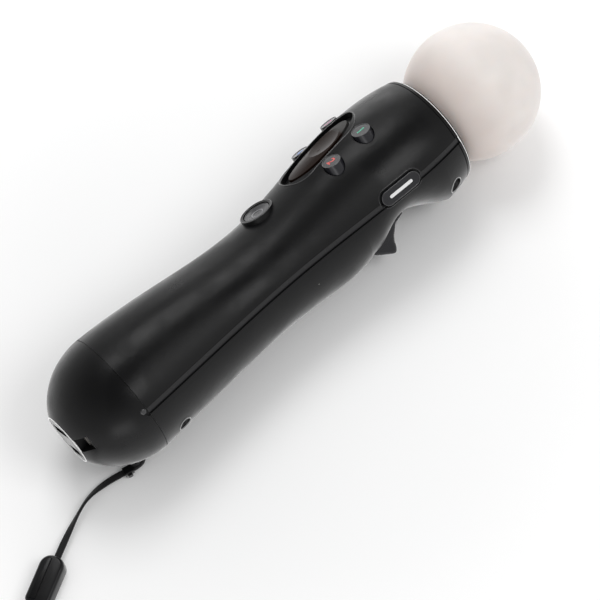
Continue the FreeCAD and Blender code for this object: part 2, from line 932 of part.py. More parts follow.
def make_trigger():
    half = size("trigger_half")
    gap = size("moving_gap")
    wall = size("trigger_wall")
    centre = pivot()
    left = Vector(0, -half, 0)
    side_view = trigger_side().Faces[0]
    solid = side_view.translated(left).extrude(Vector(0, 2 * half, 0))
    hub = rod(size("hub_radius"), centre.add(left), centre.sub(left))
    solid = solid.fuse(hub)

    inner_half = half - wall
    inside = side_view.makeOffset2D(-wall, 2)
    inside = inside.translated(Vector(0, -inner_half, 0)).extrude(Vector(0, 2 * inner_half, 0))
    start = -(size("slot_start") + gap + wall)
    mouth = box((start - FAR / 2, start), (-inner_half, inner_half),
                (-size("pivot_depth") - size("hub_radius"), 0))
    tail = rod(trigger_reach() - wall, centre.sub(Vector(0, half, 0)),
               centre.add(Vector(0, half, 0)))
    behind = box((start - FAR / 2, start), (-FAR, FAR), (-FAR, FAR))
    hollow = inside.common(behind).fuse(mouth.common(tail))

    room = size("spring_half") + gap
    clear = rod(size("spring_outer") + 2 * gap, Vector(centre.x, -room, centre.z),
                Vector(centre.x, room, centre.z))
    aside = box((centre.x, centre.x + FAR / 10), (-room, room), (centre.z - 5, centre.z + 5))
    bore = rod(size("pin_radius") + size("pin_gap"), centre.add(left), centre.sub(left))
    return new_feature("trigger", solid.cut([hollow, clear, aside, bore]).removeSplitter())


def make_trigger_pin():
    body = new_body("trigger_pin")
    half = "(slot_half + seat_gap + ear_thick)"
    drum(body, "Additive", "pin_rod", "pin_radius", "2 * " + half,
         ("-pivot_station", "-" + half, "-pivot_depth"), "y")


def make_trigger_spring():
    """A torsion spring round the pin, with one leg on the bracket."""
    body = new_body("trigger_spring")
    drum(body, "Additive", "spring_coil", "spring_outer", "2 * spring_half",
         ("-pivot_station", "-spring_half", "-pivot_depth"), "y")
    wire = "(spring_outer - spring_inner) / 2"
    block(body, "Additive", "spring_leg",
          (wire, wire, "pivot_depth + frame_top - frame_thick - ear_thick"),
          ("-pivot_station + spring_inner + pin_gap", "spring_half - " + wire, "-pivot_depth"))
    drum(body, "Subtractive", "spring_bore", "spring_inner", "2 * spring_half",
         ("-pivot_station", "-spring_half", "-pivot_depth"), "y")


def make_trigger_bracket():
    """A bridge under the frame with an ear on each side of the trigger."""
    body = new_body("trigger_bracket")
    inner = "(slot_half + seat_gap)"
    outer = "(slot_half + seat_gap + ear_thick)"
    low = "(-ear_end)"
    high = "(frame_top - frame_thick)"
    x = "-(pivot_station + ear_half_length)"
    block(body, "Additive", "bridge", ("2 * ear_half_length", "2 * " + outer, "ear_thick"),
          (x, "-" + outer, high + " - ear_thick"))
    for name, y in (("left_ear", inner), ("right_ear", "-" + outer)):
        block(body, "Additive", name, ("2 * ear_half_length", "ear_thick", high + " - " + low),
              (x, y, low))
    drum(body, "Subtractive", "pin_hole", "pin_radius + pin_gap", "2 * " + outer,
         ("-pivot_station", "-" + outer, "-pivot_depth"), "y")


# The frame and the boards

MOTOR_END = "(battery_start + battery_length + motor_gap + motor_length)"


def make_inner_frame():
    body = new_body("inner_frame")
    level = "frame_top - frame_thick"
    neck = "-(grip_station + neck_margin)"
    waist = "-(grip_station + neck_margin + frame_taper)"
    palm = "-(palm_station + palm_margin)"
    tail = "-(lower_post_station - post_radius - post_margin)"
    corners = [
        ("-frame_start", "frame_head_half"),
        (neck, "frame_head_half"),
        (waist, "frame_waist_half"),
        (palm, "frame_waist_half"),
        (tail, "frame_tail_half"),
        ("-frame_end", "frame_tail_half"),
    ]
    mirrored = [(x, "-" + y) for x, y in reversed(corners)]
    plate(body, "frame_plate", corners + mirrored, level, "frame_thick")
    arm = "frame_start - upper_post_station + post_radius - moving_gap"
    for name, low in (("left_arm", "neck_radius + seat_hub_wall + moving_gap"),
                      ("right_arm", "-(upper_post_offset + arm_margin)")):
        width = "upper_post_offset + arm_margin - neck_radius - seat_hub_wall - moving_gap"
        block(body, "Additive", name, (arm, width, "frame_thick"), ("-frame_start", low, level))
    block(body, "Additive", "bulkhead",
          ("frame_thick", "2 * bulkhead_half", "frame_top + bulkhead_half"),
          ("-frame_start - frame_thick", "-bulkhead_half", "-bulkhead_half"))
    for name, y in (("left_cheek", "frame_head_half - ear_thick"),
                    ("right_cheek", "-frame_head_half")):
        block(body, "Additive", name,
              ("2 * cheek_reach", "ear_thick", "frame_top + cheek_depth"),
              ("-(pill_station + cheek_reach)", y, "-cheek_depth"))
    for name, y in (("left_rail", "battery_half - 2 * rail_thick"),
                    ("right_rail", "-(battery_half - rail_thick)")):
        block(body, "Additive", name,
              ("battery_length - 2 * rail_margin", "rail_thick", level + " - battery_top"),
              ("-(battery_start + battery_length - rail_margin)", y, "battery_top"))
    block(body, "Additive", "motor_block",
          ("motor_length - 2 * rail_margin", "1.5 * motor_radius", level + " - motor_level"),
          ("rail_margin - " + MOTOR_END, "-0.75 * motor_radius", "motor_level"))
    drum(body, "Subtractive", "motor_seat", "motor_radius + pin_gap", "motor_length",
         ("-" + MOTOR_END, "0", "motor_level"), "x")
    for number, (x, y) in enumerate(BOARD_SCREWS, start=1):
        drum(body, "Subtractive", "board_hole_%d" % number, "board_screw_radius + pin_gap",
             "2 * frame_thick", (x, y, "frame_top - 2 * frame_thick"), "z")
    for number, (level_name, sign) in enumerate(POSTS, start=1):
        drum(body, "Subtractive", "post_hole_%d" % number, "screw_radius + pin_gap",
             "2 * frame_thick",
             ("-" + level_name + "_post_station", sign + level_name + "_post_offset",
              "frame_top - 1.5 * frame_thick"), "z")


BOARD_SCREWS = [
    ("-(board_start + screw_inset_along)", "board_head_half - screw_inset_across"),
    ("-(board_start + screw_inset_along)", "-(board_head_half - screw_inset_across)"),
    ("-(board_end - screw_inset_along)", "board_waist_half - screw_inset_across"),
    ("-(board_end - screw_inset_along)", "-(board_waist_half - screw_inset_across)"),
]

POSTS = [("upper", "-"), ("upper", ""), ("lower", "-"), ("lower", "")]


def make_main_board():
    body = new_body("main_board")
    neck = "-(grip_station + neck_margin)"
    waist = "-(grip_station + neck_margin + frame_taper)"
    corners = [
        ("-board_start", "board_head_half"),
        (neck, "board_head_half"),
        (waist, "board_waist_half"),
        ("-board_end", "board_waist_half"),
    ]
    mirrored = [(x, "-" + y) for x, y in reversed(corners)]
    plate(body, "board_plate", corners + mirrored, "frame_top", "board_thick")
    block(body, "Additive", "processor", ("chip_size", "chip_size", "chip_height"),
          ("-(mat_end + chip_gap + chip_size)", "-chip_size / 2", "frame_top + board_thick"))
    for number, (x, y) in enumerate(BOARD_SCREWS, start=1):
        drum(body, "Subtractive", "hole_%d" % number, "board_screw_radius + pin_gap",
             "2 * board_thick", (x, y, "frame_top - 0.5 * board_thick"), "z")




def make_button_mat():
    body = new_body("button_mat")
    level = "frame_top + board_thick"
    neck = "-(grip_station + neck_margin)"
    waist = "-(grip_station + neck_margin + mat_taper)"
    corners = [
        ("-mat_start", "board_head_half"),
        (neck, "board_head_half"),
        (waist, "mat_waist_half"),
        ("-mat_end", "mat_waist_half"),
    ]
    mirrored = [(x, "-" + y) for x, y in reversed(corners)]
    plate(body, "mat_sheet", corners + mirrored, level, "mat_thick")
    top = level + " + mat_thick"
    spots = [("-move_station", "0"), ("-home_station", "0")]
    for station_name, side in FACE_BUTTONS.values():
        spots.append(("-" + station_name, "face_offset" if side > 0 else "-face_offset"))
    for number, (x, y) in enumerate(spots, start=1):
        drum(body, "Additive", "dome_%d" % number, "dome_radius", "dome_rise", (x, y, top), "z")


# The battery and the rumble motor


def make_battery():
    body = new_body("battery_pack")
    cells = block(body, "Additive", "battery_block",
                  ("battery_length", "2 * battery_half", "battery_height"),
                  ("-(battery_start + battery_length)", "-battery_half",
                   "battery_top - battery_height"))
    doc.recompute()
    names = []
    for number, edge in enumerate(cells.Shape.Edges, start=1):
        if abs(edge.tangentAt(edge.FirstParameter).x) > 0.9:
            names.append("Edge%d" % number)
    fillet = body.newObject("PartDesign::Fillet", "battery_round")
    fillet.Base = (cells, names)
    fillet.Radius = 2.5
    fillet.setExpression("Radius", tied("battery_height / 4"))


def make_battery_foam():
    body = new_body("battery_foam")
    block(body, "Additive", "foam_block",
          ("battery_length * 0.6", "2 * foam_half", "battery_top - battery_height - foam_bottom"),
          ("-(battery_start + battery_length * 0.8)", "-foam_half", "foam_bottom"))


def make_rumble_motor():
    body = new_body("rumble_motor")
    drum(body, "Additive", "motor_can", "motor_radius", "motor_length",
         ("-" + MOTOR_END, "0", "motor_level"), "x")
    drum(body, "Additive", "motor_shaft", "shaft_radius", "shaft_length",
         ("-(" + MOTOR_END + " + shaft_length)", "0", "motor_level"), "x")


def make_rumble_weight():
    """Half a disc with a round hub, off centre on the motor's shaft."""
    body = new_body("rumble_weight")
    x = "-(" + MOTOR_END + " + weight_gap + weight_length)"
    drum(body, "Additive", "weight_disc", "weight_radius", "weight_length",
         (x, "0", "motor_level"), "x")
    block(body, "Subtractive", "weight_half",
          ("weight_length", "2 * weight_radius", "weight_radius"),
          (x, "-weight_radius", "motor_level + 2 * shaft_radius"))
    drum(body, "Subtractive", "weight_bore", "shaft_radius + pin_gap", "weight_length",
         (x, "0", "motor_level"), "x")


# The tail cap


def dome(radius, length, cut_length):
    """Half an ellipsoid on the seam, cut off flat before its end."""
    seam = -size("seam_station")
    pole = Vector(seam - length, 0, 0)
    curve = Part.Ellipse(pole, Vector(seam, 0, radius), Vector(seam, 0, 0))
    cut_angle = math.acos(cut_length / length)
    arc = Part.ArcOfEllipse(curve, cut_angle, math.pi / 2)
    corners = [arc.EndPoint, Vector(seam, 0, 0), Vector(seam - cut_length, 0, 0),
               arc.StartPoint]
    lines = Part.makePolygon(corners)
    profile = Part.Face(Part.Wire([arc.toShape()] + lines.Edges))
    return profile.revolve(Vector(), Vector(1, 0, 0), 360)


def make_tail_cap():
    radius = size("seam_radius")
    wall = size("shell_wall")
    seam = -size("seam_station")
    end = -size("end_station")
    length = size("end_station") - size("seam_station")
    outer = dome(radius, size("dome_length"), length)
    inner = dome(radius - wall, size("dome_length") - wall, length - wall)
    sleeve = radius - wall - size("sleeve_gap")
    back = Vector(seam + size("sleeve_length"), 0, 0)
    front = Vector(seam - wall, 0, 0)
    ring = rod(sleeve, front, back).cut(rod(sleeve - size("sleeve_wall"), front, back))
    band = rod(radius - wall / 2, Vector(seam, 0, 0), front)
    band = band.cut(rod(sleeve - size("sleeve_wall"), Vector(seam, 0, 0), front))

    fine = Vector(seam - size("line_width"), 0, 0)
    start = Vector(seam, 0, 0)
    seam_line = rod(FAR, start, fine).cut(rod(radius - size("line_depth"), start, fine))

    half = size("pocket_half")
    edge = size("pocket_wall")
    back_x = -(size("port_board_start") + size("port_board_thick"))
    blocks = []
    cuts = [seam_line]
    for side in (-1, 1):
        inner_y = side * (size("pocket_inner") - edge)
        reach = sorted((inner_y, side * radius))
        blocks.append(box((end, back_x), reach, (-half - edge, half + edge)))
        open_y = sorted((side * size("pocket_inner"), side * radius))
        cuts.append(box((end - 1, -size("pocket_start")), open_y, (-half, half)))
        notch = Vector(seam, side * (radius - size("channel_depth")), -size("split_drop"))
        cuts.append(rod(size("notch_radius"), notch, Vector(seam, side * FAR, notch.z)))

    bar_x = -size("bar_station")
    long_half = size("eyelet_half_length")
    wide_half = size("eyelet_half_width")
    skin = radius * math.sqrt(1 - ((size("bar_station") - size("seam_station"))
                                   / size("dome_length")) ** 2)
    floor = -(skin - size("eyelet_depth"))
    cover = size("eyelet_wall")
    blocks.append(box((bar_x - long_half - cover, bar_x + long_half + cover),
                      (-wide_half - cover, wide_half + cover), (-FAR, floor + cover)))
    cuts.append(box((bar_x - long_half, bar_x + long_half), (-wide_half, wide_half),
                    (-FAR, floor)))
    depth = -size("bar_depth")
    cuts.append(rod(size("bar_radius"), Vector(bar_x, -wide_half - cover, depth),
                    Vector(bar_x, wide_half + cover, depth)))
    for level, width, tall in (("usb_height", "usb_width", "usb_tall"),
                               ("expansion_height", "expansion_width", "expansion_tall")):
        middle = size(level)
        across = size(width) / 2 + size("pin_gap")
        up = size(tall) / 2 + size("pin_gap")
        cuts.append(box((end - 1, end + 2 * wall), (-across, across),
                        (middle - up, middle + up)))
    inside = blocks[0].fuse(blocks[1:]).common(outer)
    cap = outer.cut(inner).fuse([inside, ring, band])
    return new_feature("tail_cap", cap.cut(cuts).removeSplitter())


def make_strap_bar():
    body = new_body("strap_bar")
    half = "(eyelet_half_width + eyelet_wall)"
    drum(body, "Additive", "bar_rod", "bar_radius", "2 * " + half,
         ("-bar_station", "-" + half, "-bar_depth"), "y")


def make_socket(name, level, width, tall):
    """A metal socket shell with the tongue that carries its contacts."""
    body = new_body(name)
    start = "(port_board_start + port_board_thick)"
    length = "(end_station - socket_sink - " + start + ")"
    x = "-(end_station - socket_sink)"
    block(body, "Additive", name + "_shell", (length, width, tall),
          (x, "-" + width + " / 2", level + " - " + tall + " / 2"))
    block(body, "Subtractive", name + "_mouth",
          ("socket_depth", width + " - 2 * socket_wall", tall + " - 2 * socket_wall"),
          (x, "-(" + width + " / 2 - socket_wall)", level + " - " + tall + " / 2 + socket_wall"))
    block(body, "Additive", name + "_tongue",
          ("socket_depth - 1", width + " * 0.6", tall + " * 0.25"),
          ("1 + " + x, "-" + width + " * 0.3", level + " - " + tall + " * 0.125"))


def make_port_board():
    body = new_body("port_board")
    half = "port_board_half"
    block(body, "Additive", "port_plate",
          ("port_board_thick", "2 * " + half, "usb_tall / 2 + expansion_tall / 2 + 2"
           + " + expansion_height - usb_height"),
          ("-(port_board_start + port_board_thick)", "-" + half,
           "usb_height - usb_tall / 2 - 1"))


def make_contact(name, side):
    body = new_body(name)
    width = "(contact_reach - pocket_inner - seat_gap)"
    y = "pocket_inner + seat_gap" if side > 0 else "-contact_reach"
    block(body, "Additive", name + "_strip", ("contact_thick", width, "1.4 * pocket_half"),
          ("-(pocket_start + contact_thick)", y, "-0.7 * pocket_half"))


# Screws


def make_shell_screws():
    """Four equal screws, each from its well in the rear shell into the front shell."""
    radius = size("screw_radius")
    head_radius = size("screw_head_radius")
    floor = size("well_floor")
    shapes = []
    for x, y in posts():
        head = rod(head_radius, Vector(x, y, floor - size("screw_head_height")),
                   Vector(x, y, floor))
        shank = rod(radius, Vector(x, y, floor), Vector(x, y, size("screw_end")))
        shapes.append(head.fuse(shank).removeSplitter())
    return new_feature("shell_screws", Part.makeCompound(shapes))


def make_board_screws():
    """Four small screws that hold the main board on the frame."""
    radius = size("board_screw_radius")
    head_radius = size("board_screw_head")
    top = board_top()
    bottom = size("frame_top") - size("frame_thick")
    head_x = size("board_start") + size("screw_inset_along")
    tail_x = size("board_end") - size("screw_inset_along")
    inset = size("screw_inset_across")
    places = []
    for side in (-1, 1):
        places.append((-head_x, side * (size("board_head_half") - inset)))
        places.append((-tail_x, side * (size("board_waist_half") - inset)))
    shapes = []
    for x, y in places:
        head = rod(head_radius, Vector(x, y, top), Vector(x, y, top + radius))
        shank = rod(radius, Vector(x, y, bottom), Vector(x, y, top))
        shapes.append(head.fuse(shank).removeSplitter())
    return new_feature("board_screws", Part.makeCompound(shapes))


make_front_shell()
make_rear_shell()
make_tail_cap()
make_ball()
make_ball_seat()
make_light_guide()
make_led_board()
make_move_button()
for button_name, (station_alias, button_side) in FACE_BUTTONS.items():
    make_face_button(button_name, station_alias, button_side)
make_home_button()
make_pill_button("start_button", -1)
make_pill_button("select_button", 1)
make_pill_pad("start_pad", -1)
make_pill_pad("select_pad", 1)
make_trigger()
make_trigger_pin()
make_trigger_spring()
make_trigger_bracket()
make_inner_frame()
make_main_board()
make_board_screws()
make_button_mat()
make_battery()
make_battery_foam()
make_rumble_motor()
make_rumble_weight()
make_socket("usb_socket", "usb_height", "usb_width", "usb_tall")
make_socket("expansion_socket", "expansion_height", "expansion_width", "expansion_tall")
make_port_board()
make_contact("charge_contact_right", -1)
make_contact("charge_contact_left", 1)
make_strap_bar()
make_shell_screws()
doc.recompute()


def lowest(shape, turn):
    turned = shape.copy()
    turned.Placement = Placement(Vector(), turn)
    return turned.optimalBoundingBox(True, False).ZMin


def ball_low(turn):
    return turn.multVec(ball_centre()).z - size("ball_radius")


def lying_roll(pitch, trigger):
    """The roll that brings the trigger's corner down to the level of the ball's underside."""
    low = 20.0
    high = 60.0
    for _ in range(18):
        roll = (low + high) / 2
        turn = pitch.multiply(Rotation(Vector(1, 0, 0), -roll))
        if lowest(trigger, turn) < ball_low(turn):
            low = roll
        else:
            high = roll
    return high


def lie_down():
    """Where the controller lies: on the ball, the tail and the trigger's corner."""
    drop = size("ball_radius") - size("seam_radius")
    apart = size("seam_station") + size("rest_beyond") + ball_centre().x
    slope = math.degrees(math.asin(drop / apart))
    pitch = Rotation(Vector(0, 1, 0), -slope)
    trigger = [piece for piece in pieces if piece.Label == "trigger"][0]
    roll = lying_roll(pitch, trigger.Shape)
    turn = pitch.multiply(Rotation(Vector(1, 0, 0), -roll))
    whole = FreeCAD.BoundBox()
    for piece in pieces:
        turned = piece.Shape.copy()
        turned.Placement = Placement(Vector(), turn)
        whole.add(turned.optimalBoundingBox(True, False))
    print("lies rolled by %.2f and pitched by %.2f degrees" % (roll, slope))
    return Placement(Vector(-whole.Center.x, -whole.Center.y, -ball_low(turn)), turn)


doc.recompute()
resting = lie_down()
for piece in pieces:
    piece.Placement = resting


# The wrist strap, which lies on the table and is drawn where it lies


def cord_path(points):
    """Straight runs joined by tangent arcs, each as large as its two runs allow."""
    corners = [(points[0], 0)]
    for back, corner, ahead in zip(points, points[1:], points[2:]):
        before = corner.sub(back)
        after = ahead.sub(corner)
        turn = before.getAngle(after)
        shorter = min(before.Length, after.Length)
        corners.append((corner, 0.45 * shorter / math.tan(turn / 2)))
    corners.append((points[-1], 0))
    return corners


def path_wire(points):
    edges = []
    last = points[0]
    corners = cord_path(points)
    for index in range(1, len(points) - 1):
        corner, radius = corners[index]
        back = (points[index - 1].sub(corner)).normalize()
        ahead = (points[index + 1].sub(corner)).normalize()
        half = back.getAngle(ahead) / 2
        reach = radius / math.tan(half)
        begin = corner.add(Vector(back).multiply(reach))
        finish = corner.add(Vector(ahead).multiply(reach))
        inward = back.add(ahead).normalize()
        middle = corner.add(inward.multiply(radius / math.sin(half) - radius))
        edges.append(Part.LineSegment(last, begin).toShape())
        edges.append(Part.Arc(begin, middle, finish).toShape())
        last = finish
    edges.append(Part.LineSegment(last, points[-1]).toShape())
    return Part.Wire(edges)


def report_cord(name, points, wire, solid, section):
    radii = ["%.1f" % radius for _, radius in cord_path(points)[1:-1]]
    print("%s: length %.1f, radii %s, volume %.1f against %.1f" % (
        name, wire.Length, " ".join(radii), solid.Volume, section * wire.Length))


def round_cord(name, points, radius):
    wire = path_wire(points)
    way = points[1].sub(points[0])
    ring = Part.Wire(Part.Circle(points[0], way, radius).toShape())
    solid = wire.makePipeShell([ring], True, False)
    report_cord(name, points, wire, solid, math.pi * radius * radius)
    return new_feature(name, solid)


def flat_band(name, points):
    """A flat band lying on the table along a level path."""
    half = size("band_width") / 2
    thick = size("band_thick")
    level = [Vector(point.x, point.y, 0) for point in points]
    wire = path_wire(level)
    way = (level[1].sub(level[0])).normalize()
    across = Vector(-way.y, way.x, 0).multiply(half)
    up = Vector(0, 0, thick)
    right = level[0].sub(across)
    left = level[0].add(across)
    ring = Part.makePolygon([right, left, left.add(up), right.add(up), right])
    solid = wire.makePipeShell([ring], True, False)
    report_cord(name, level, wire, solid, 2 * half * thick)
    return new_feature(name, solid)


# Where the band and the wrist loop lie on the table
BAND_ROUTE = [
    Vector(-91.8, -12.1, 0),
    Vector(-102.2, -9.6, 0),
    Vector(-114.4, -13.8, 0),
    Vector(-125.6, -19.8, 0),
]
WRIST_ROUTE = [
    Vector(-164, -35.5, 0),
    Vector(-179, -36, 0),
    Vector(-190, -43, 0),
    Vector(-191, -53, 0),
    Vector(-184, -62.5, 0),
    Vector(-170, -67, 0),
    Vector(-146, -64.5, 0),
    Vector(-123, -66.5, 0),
    Vector(-118, -61.5, 0),
    Vector(-118, -54.5, 0),
    Vector(-123, -49.5, 0),
    Vector(-137, -49.5, 0),
    Vector(-149.5, -54, 0),
    Vector(-157, -50, 0),
    Vector(-157.8, -41.5, 0),
]


def heading(route, first, second):
    return (route[second].sub(route[first])).normalize()


def sideways(way):
    return Vector(-way.y, way.x, 0)


def make_strap_loop():
    """A thin cord from the crimp, round the bar and back to the crimp."""
    bar = resting.multVec(Vector(-size("bar_station"), 0, -size("bar_depth")))
    out = resting.Rotation.multVec(Vector(0, 0, -1))
    along = resting.Rotation.multVec(Vector(1, 0, 0))
    radius = size("loop_cord_radius")
    apart = size("bar_radius") + radius + size("seat_gap")
    way = heading(BAND_ROUTE, 0, 1)
    back = BAND_ROUTE[0].sub(Vector(way).multiply(size("crimp_length")))
    back.z = size("crimp_height") / 2
    side = sideways(way).multiply(radius + size("pin_gap"))

    def beside_bar(share, depth):
        shift = Vector(along).multiply(share * apart)
        return bar.add(shift).add(Vector(out).multiply(depth))

    drop = size("loop_drop")
    points = [
        back.add(side),
        beside_bar(1, drop),
        beside_bar(1, -apart),
        beside_bar(-1, -apart),
        beside_bar(-1, drop - radius),
        back.sub(side),
    ]
    return round_cord("strap_loop", points, radius)


def make_strap_crimp():
    way = heading(BAND_ROUTE, 0, 1)
    length = size("crimp_length")
    half = size("crimp_width") / 2
    height = size("crimp_height")
    body = Part.makeBox(length, 2 * half, height, Vector(-length, -half, 0))
    upright = [edge for edge in body.Edges if abs(edge.tangentAt(0).x) > 0.9]
    body = body.makeFillet(height / 4, upright)
    knob = rod(size("crimp_knob_radius"), Vector(-length / 2, 0, height / 2),
               Vector(-length / 2, half + size("crimp_knob_radius"), height / 2))
    crimp = body.fuse(knob).removeSplitter()
    crimp.Placement = Placement(BAND_ROUTE[0], Rotation(Vector(1, 0, 0), way))
    return new_feature("strap_crimp", crimp)


def make_strap_slider():
    """The lock that slides on the strap, with a flat nose and a flat tail."""
    way = heading(BAND_ROUTE, -2, -1)
    length = size("slider_length")
    half = size("slider_width") / 2
    outline_wire = rounded([
        (Vector(0, -half, 0), size("slider_nose_round")),
        (Vector(length, -half, 0), size("slider_tail_round")),
        (Vector(length, half, 0), size("slider_tail_round")),
        (Vector(0, half, 0), size("slider_nose_round")),
    ])
    height = size("slider_height")
    body = Part.Face(outline_wire).extrude(Vector(0, 0, height))
    top = [edge for edge in body.Edges
           if abs(edge.BoundBox.ZMin - height) < 1e-3 and edge.BoundBox.ZLength < 1e-3]
    body = body.makeFillet(size("slider_edge_round"), top)
    body.Placement = Placement(BAND_ROUTE[-1], Rotation(Vector(1, 0, 0), way))
    return new_feature("strap_slider", body)


def make_wrist_loop():
    way = heading(BAND_ROUTE, -2, -1)
    end = BAND_ROUTE[-1].add(Vector(way).multiply(size("slider_length")))
    side = sideways(way).multiply(size("strand_offset"))
    lead = Vector(way).multiply(size("strand_lead"))
    first = end.sub(side)
    last = end.add(side)
    route = [first, first.add(lead)] + WRIST_ROUTE + [last.add(lead), last]
    return flat_band("wrist_loop", route)


make_strap_loop()
make_strap_crimp()
flat_band("strap_band", BAND_ROUTE)
make_strap_slider()
make_wrist_loop()
doc.recompute()

faults = []
for item in doc.Objects:
    if "Invalid" in item.State or "Error" in item.State:
        faults.append(item.Name)
for piece in pieces:
    if piece.Shape.isNull() or not piece.Shape.isValid():
        faults.append(piece.Label)
if faults:
    raise RuntimeError("These objects failed: " + ", ".join(faults))

os.makedirs("parts", exist_ok=True)
for piece in pieces:
    piece.Shape.exportStep("parts/" + piece.Label + ".step")
    print(piece.Label, len(piece.Shape.Solids), round(piece.Shape.Volume, 1))
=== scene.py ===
# %% [markdown]
# # A motion controller: a wand with a soft white ball
#
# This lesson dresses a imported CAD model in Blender. The model stays the fixed frame: every size
# and place comes from it. Blender adds what a CAD program doesn't have: moulded grain, sheen,
# rubber, woven tape, printed marks and a studio to look at it in.

import json
from math import cos, pi, radians, sin

import bpy
from mathutils import Matrix, Vector


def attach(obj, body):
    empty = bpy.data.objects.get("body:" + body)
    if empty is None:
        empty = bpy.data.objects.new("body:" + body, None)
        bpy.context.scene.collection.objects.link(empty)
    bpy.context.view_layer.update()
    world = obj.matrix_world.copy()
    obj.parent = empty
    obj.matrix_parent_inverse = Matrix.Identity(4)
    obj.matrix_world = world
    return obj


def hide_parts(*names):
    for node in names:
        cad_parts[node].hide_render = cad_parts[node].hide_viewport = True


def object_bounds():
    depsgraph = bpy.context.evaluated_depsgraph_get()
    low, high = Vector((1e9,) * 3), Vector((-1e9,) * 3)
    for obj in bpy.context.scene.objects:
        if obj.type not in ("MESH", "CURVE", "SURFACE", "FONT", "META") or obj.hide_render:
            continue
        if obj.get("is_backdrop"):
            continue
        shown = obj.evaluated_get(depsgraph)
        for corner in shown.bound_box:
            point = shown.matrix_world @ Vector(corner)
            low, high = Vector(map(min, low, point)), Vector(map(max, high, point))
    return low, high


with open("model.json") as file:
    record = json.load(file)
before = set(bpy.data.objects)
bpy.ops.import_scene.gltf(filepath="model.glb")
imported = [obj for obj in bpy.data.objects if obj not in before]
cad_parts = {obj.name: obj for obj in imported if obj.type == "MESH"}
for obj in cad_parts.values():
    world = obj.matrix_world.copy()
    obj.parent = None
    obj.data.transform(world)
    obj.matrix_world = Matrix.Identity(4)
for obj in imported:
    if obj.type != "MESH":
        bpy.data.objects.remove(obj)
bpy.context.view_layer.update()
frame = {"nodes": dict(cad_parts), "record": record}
bpy.ops.object.select_all(action="DESELECT")
nodes = frame["nodes"]
MM = 0.001

# %% [markdown]
# ## The wand's own directions
#
# The wand lies on a table on its ball, its tail and the corner of its trigger, so it is rolled
# and slightly pitched. New pieces are easier to make while it stands straight: x runs from the
# tail to the ball, z comes out of the front with the big button, and the ball's centre is the
# origin. One matrix then lays a finished mesh down beside the CAD pieces. Turning each piece by
# hand would also work, but one matrix in one place keeps them all true to each other.

# %% How the wand lies
BALL_CENTRE = (77.032 * MM, -0.3986 * MM, 23 * MM)
PITCH, ROLL = radians(-0.440745), radians(-39.1391)
LIES = (Matrix.Translation(BALL_CENTRE) @ Matrix.Rotation(PITCH, 4, "Y")
        @ Matrix.Rotation(ROLL, 4, "X"))
STANDS = LIES.inverted()
print("ball centre in mm:", [round(v / MM, 2) for v in LIES.translation])

# %% [markdown]
# ## The camera
#
# The photograph looks down on the wand with a long lens. The camera's three directions were
# worked out from the outlines of the ball and the handle, and a matrix takes them as they are.
# Aiming the camera with a Track To constraint is the usual way, but it can't hold the roll that
# puts the handle on a diagonal. A lens of 120 mm on a sensor of 36 mm gives the picture angle.

# %% Put the camera where the photograph was taken from
STANDPOINT = (-0.166956, -0.288039, 0.579656)
camera_data = bpy.data.cameras.new("camera")
camera_data.lens = 120
camera_data.sensor_width = 36
camera_data.clip_start = 0.01
camera = bpy.data.objects.new("camera", camera_data)
bpy.context.scene.collection.objects.link(camera)
right = Vector((0.73517193, -0.6663056, -0.12473605))
up = Vector((0.63509203, 0.61266649, 0.47042308))
ahead = Vector((0.23702394, 0.42506072, -0.87358059))
camera.matrix_world = (Matrix.Translation(STANDPOINT)
                       @ Matrix((right, up, -ahead)).transposed().to_4x4())
bpy.context.scene.camera = camera
print("camera stands", round(camera.location.length, 3), "m away")

# %% [markdown]
# ## Helpers for every new piece
#
# A finished piece keeps its object at the origin, with its place in its mesh. Its smooth shading
# stops at sharp edges, so flat and round faces both look right. The selecting helpers find points,
# edges and faces by where they are, because their numbers change with every size.

# %% Finish a piece, and select parts of its mesh
def select_only(obj):
    bpy.ops.object.select_all(action="DESELECT")
    obj.select_set(True)
    bpy.context.view_layer.objects.active = obj


def settle(obj, name, matrix=Matrix.Identity(4), smooth=35):
    """Names the piece, moves its place into its mesh, and lays it down with the given matrix."""
    obj.name = name
    obj.data.name = name
    obj.data.transform(matrix @ obj.matrix_world)
    obj.matrix_world = Matrix.Identity(4)
    select_only(obj)
    bpy.ops.object.shade_smooth_by_angle(angle=radians(smooth))
    obj.select_set(False)
    return obj


def apply_all(obj):
    select_only(obj)
    for modifier in list(obj.modifiers):
        bpy.ops.object.modifier_apply(modifier=modifier.name)


def edit_all():
    """Edit mode with everything selected."""
    bpy.ops.object.mode_set(mode="EDIT")
    bpy.ops.mesh.select_all(action="SELECT")


def clear_selection(kind):
    """Edit mode with nothing selected. The kind is set first, or single edges grow to faces."""
    bpy.ops.object.mode_set(mode="EDIT")
    bpy.ops.mesh.select_mode(type=kind)
    bpy.ops.mesh.select_all(action="DESELECT")
    bpy.ops.object.mode_set(mode="OBJECT")


def select_points(obj, wanted):
    """In edit mode, selects the vertices whose place in the wand's directions passes the test."""
    clear_selection("VERT")
    for vertex in obj.data.vertices:
        vertex.select = wanted(STANDS @ vertex.co)
    bpy.ops.object.mode_set(mode="EDIT")
    return obj.data.total_vert_sel


def select_faces(obj, wanted):
    """In edit mode, selects the faces whose centre and normal pass the test."""
    clear_selection("FACE")
    for face in obj.data.polygons:
        face.select = bool(wanted(face.center, face.normal))
    bpy.ops.object.mode_set(mode="EDIT")
    return obj.data.total_face_sel


def select_edges(obj, wanted):
    """In edit mode, selects the edges whose two ends pass the test."""
    clear_selection("EDGE")
    for edge in obj.data.edges:
        edge.select = bool(wanted(*(obj.data.vertices[i].co for i in edge.vertices)))
    bpy.ops.object.mode_set(mode="EDIT")
    return obj.data.total_edge_sel


def turns(count):
    return [2 * pi * k / count for k in range(count)]


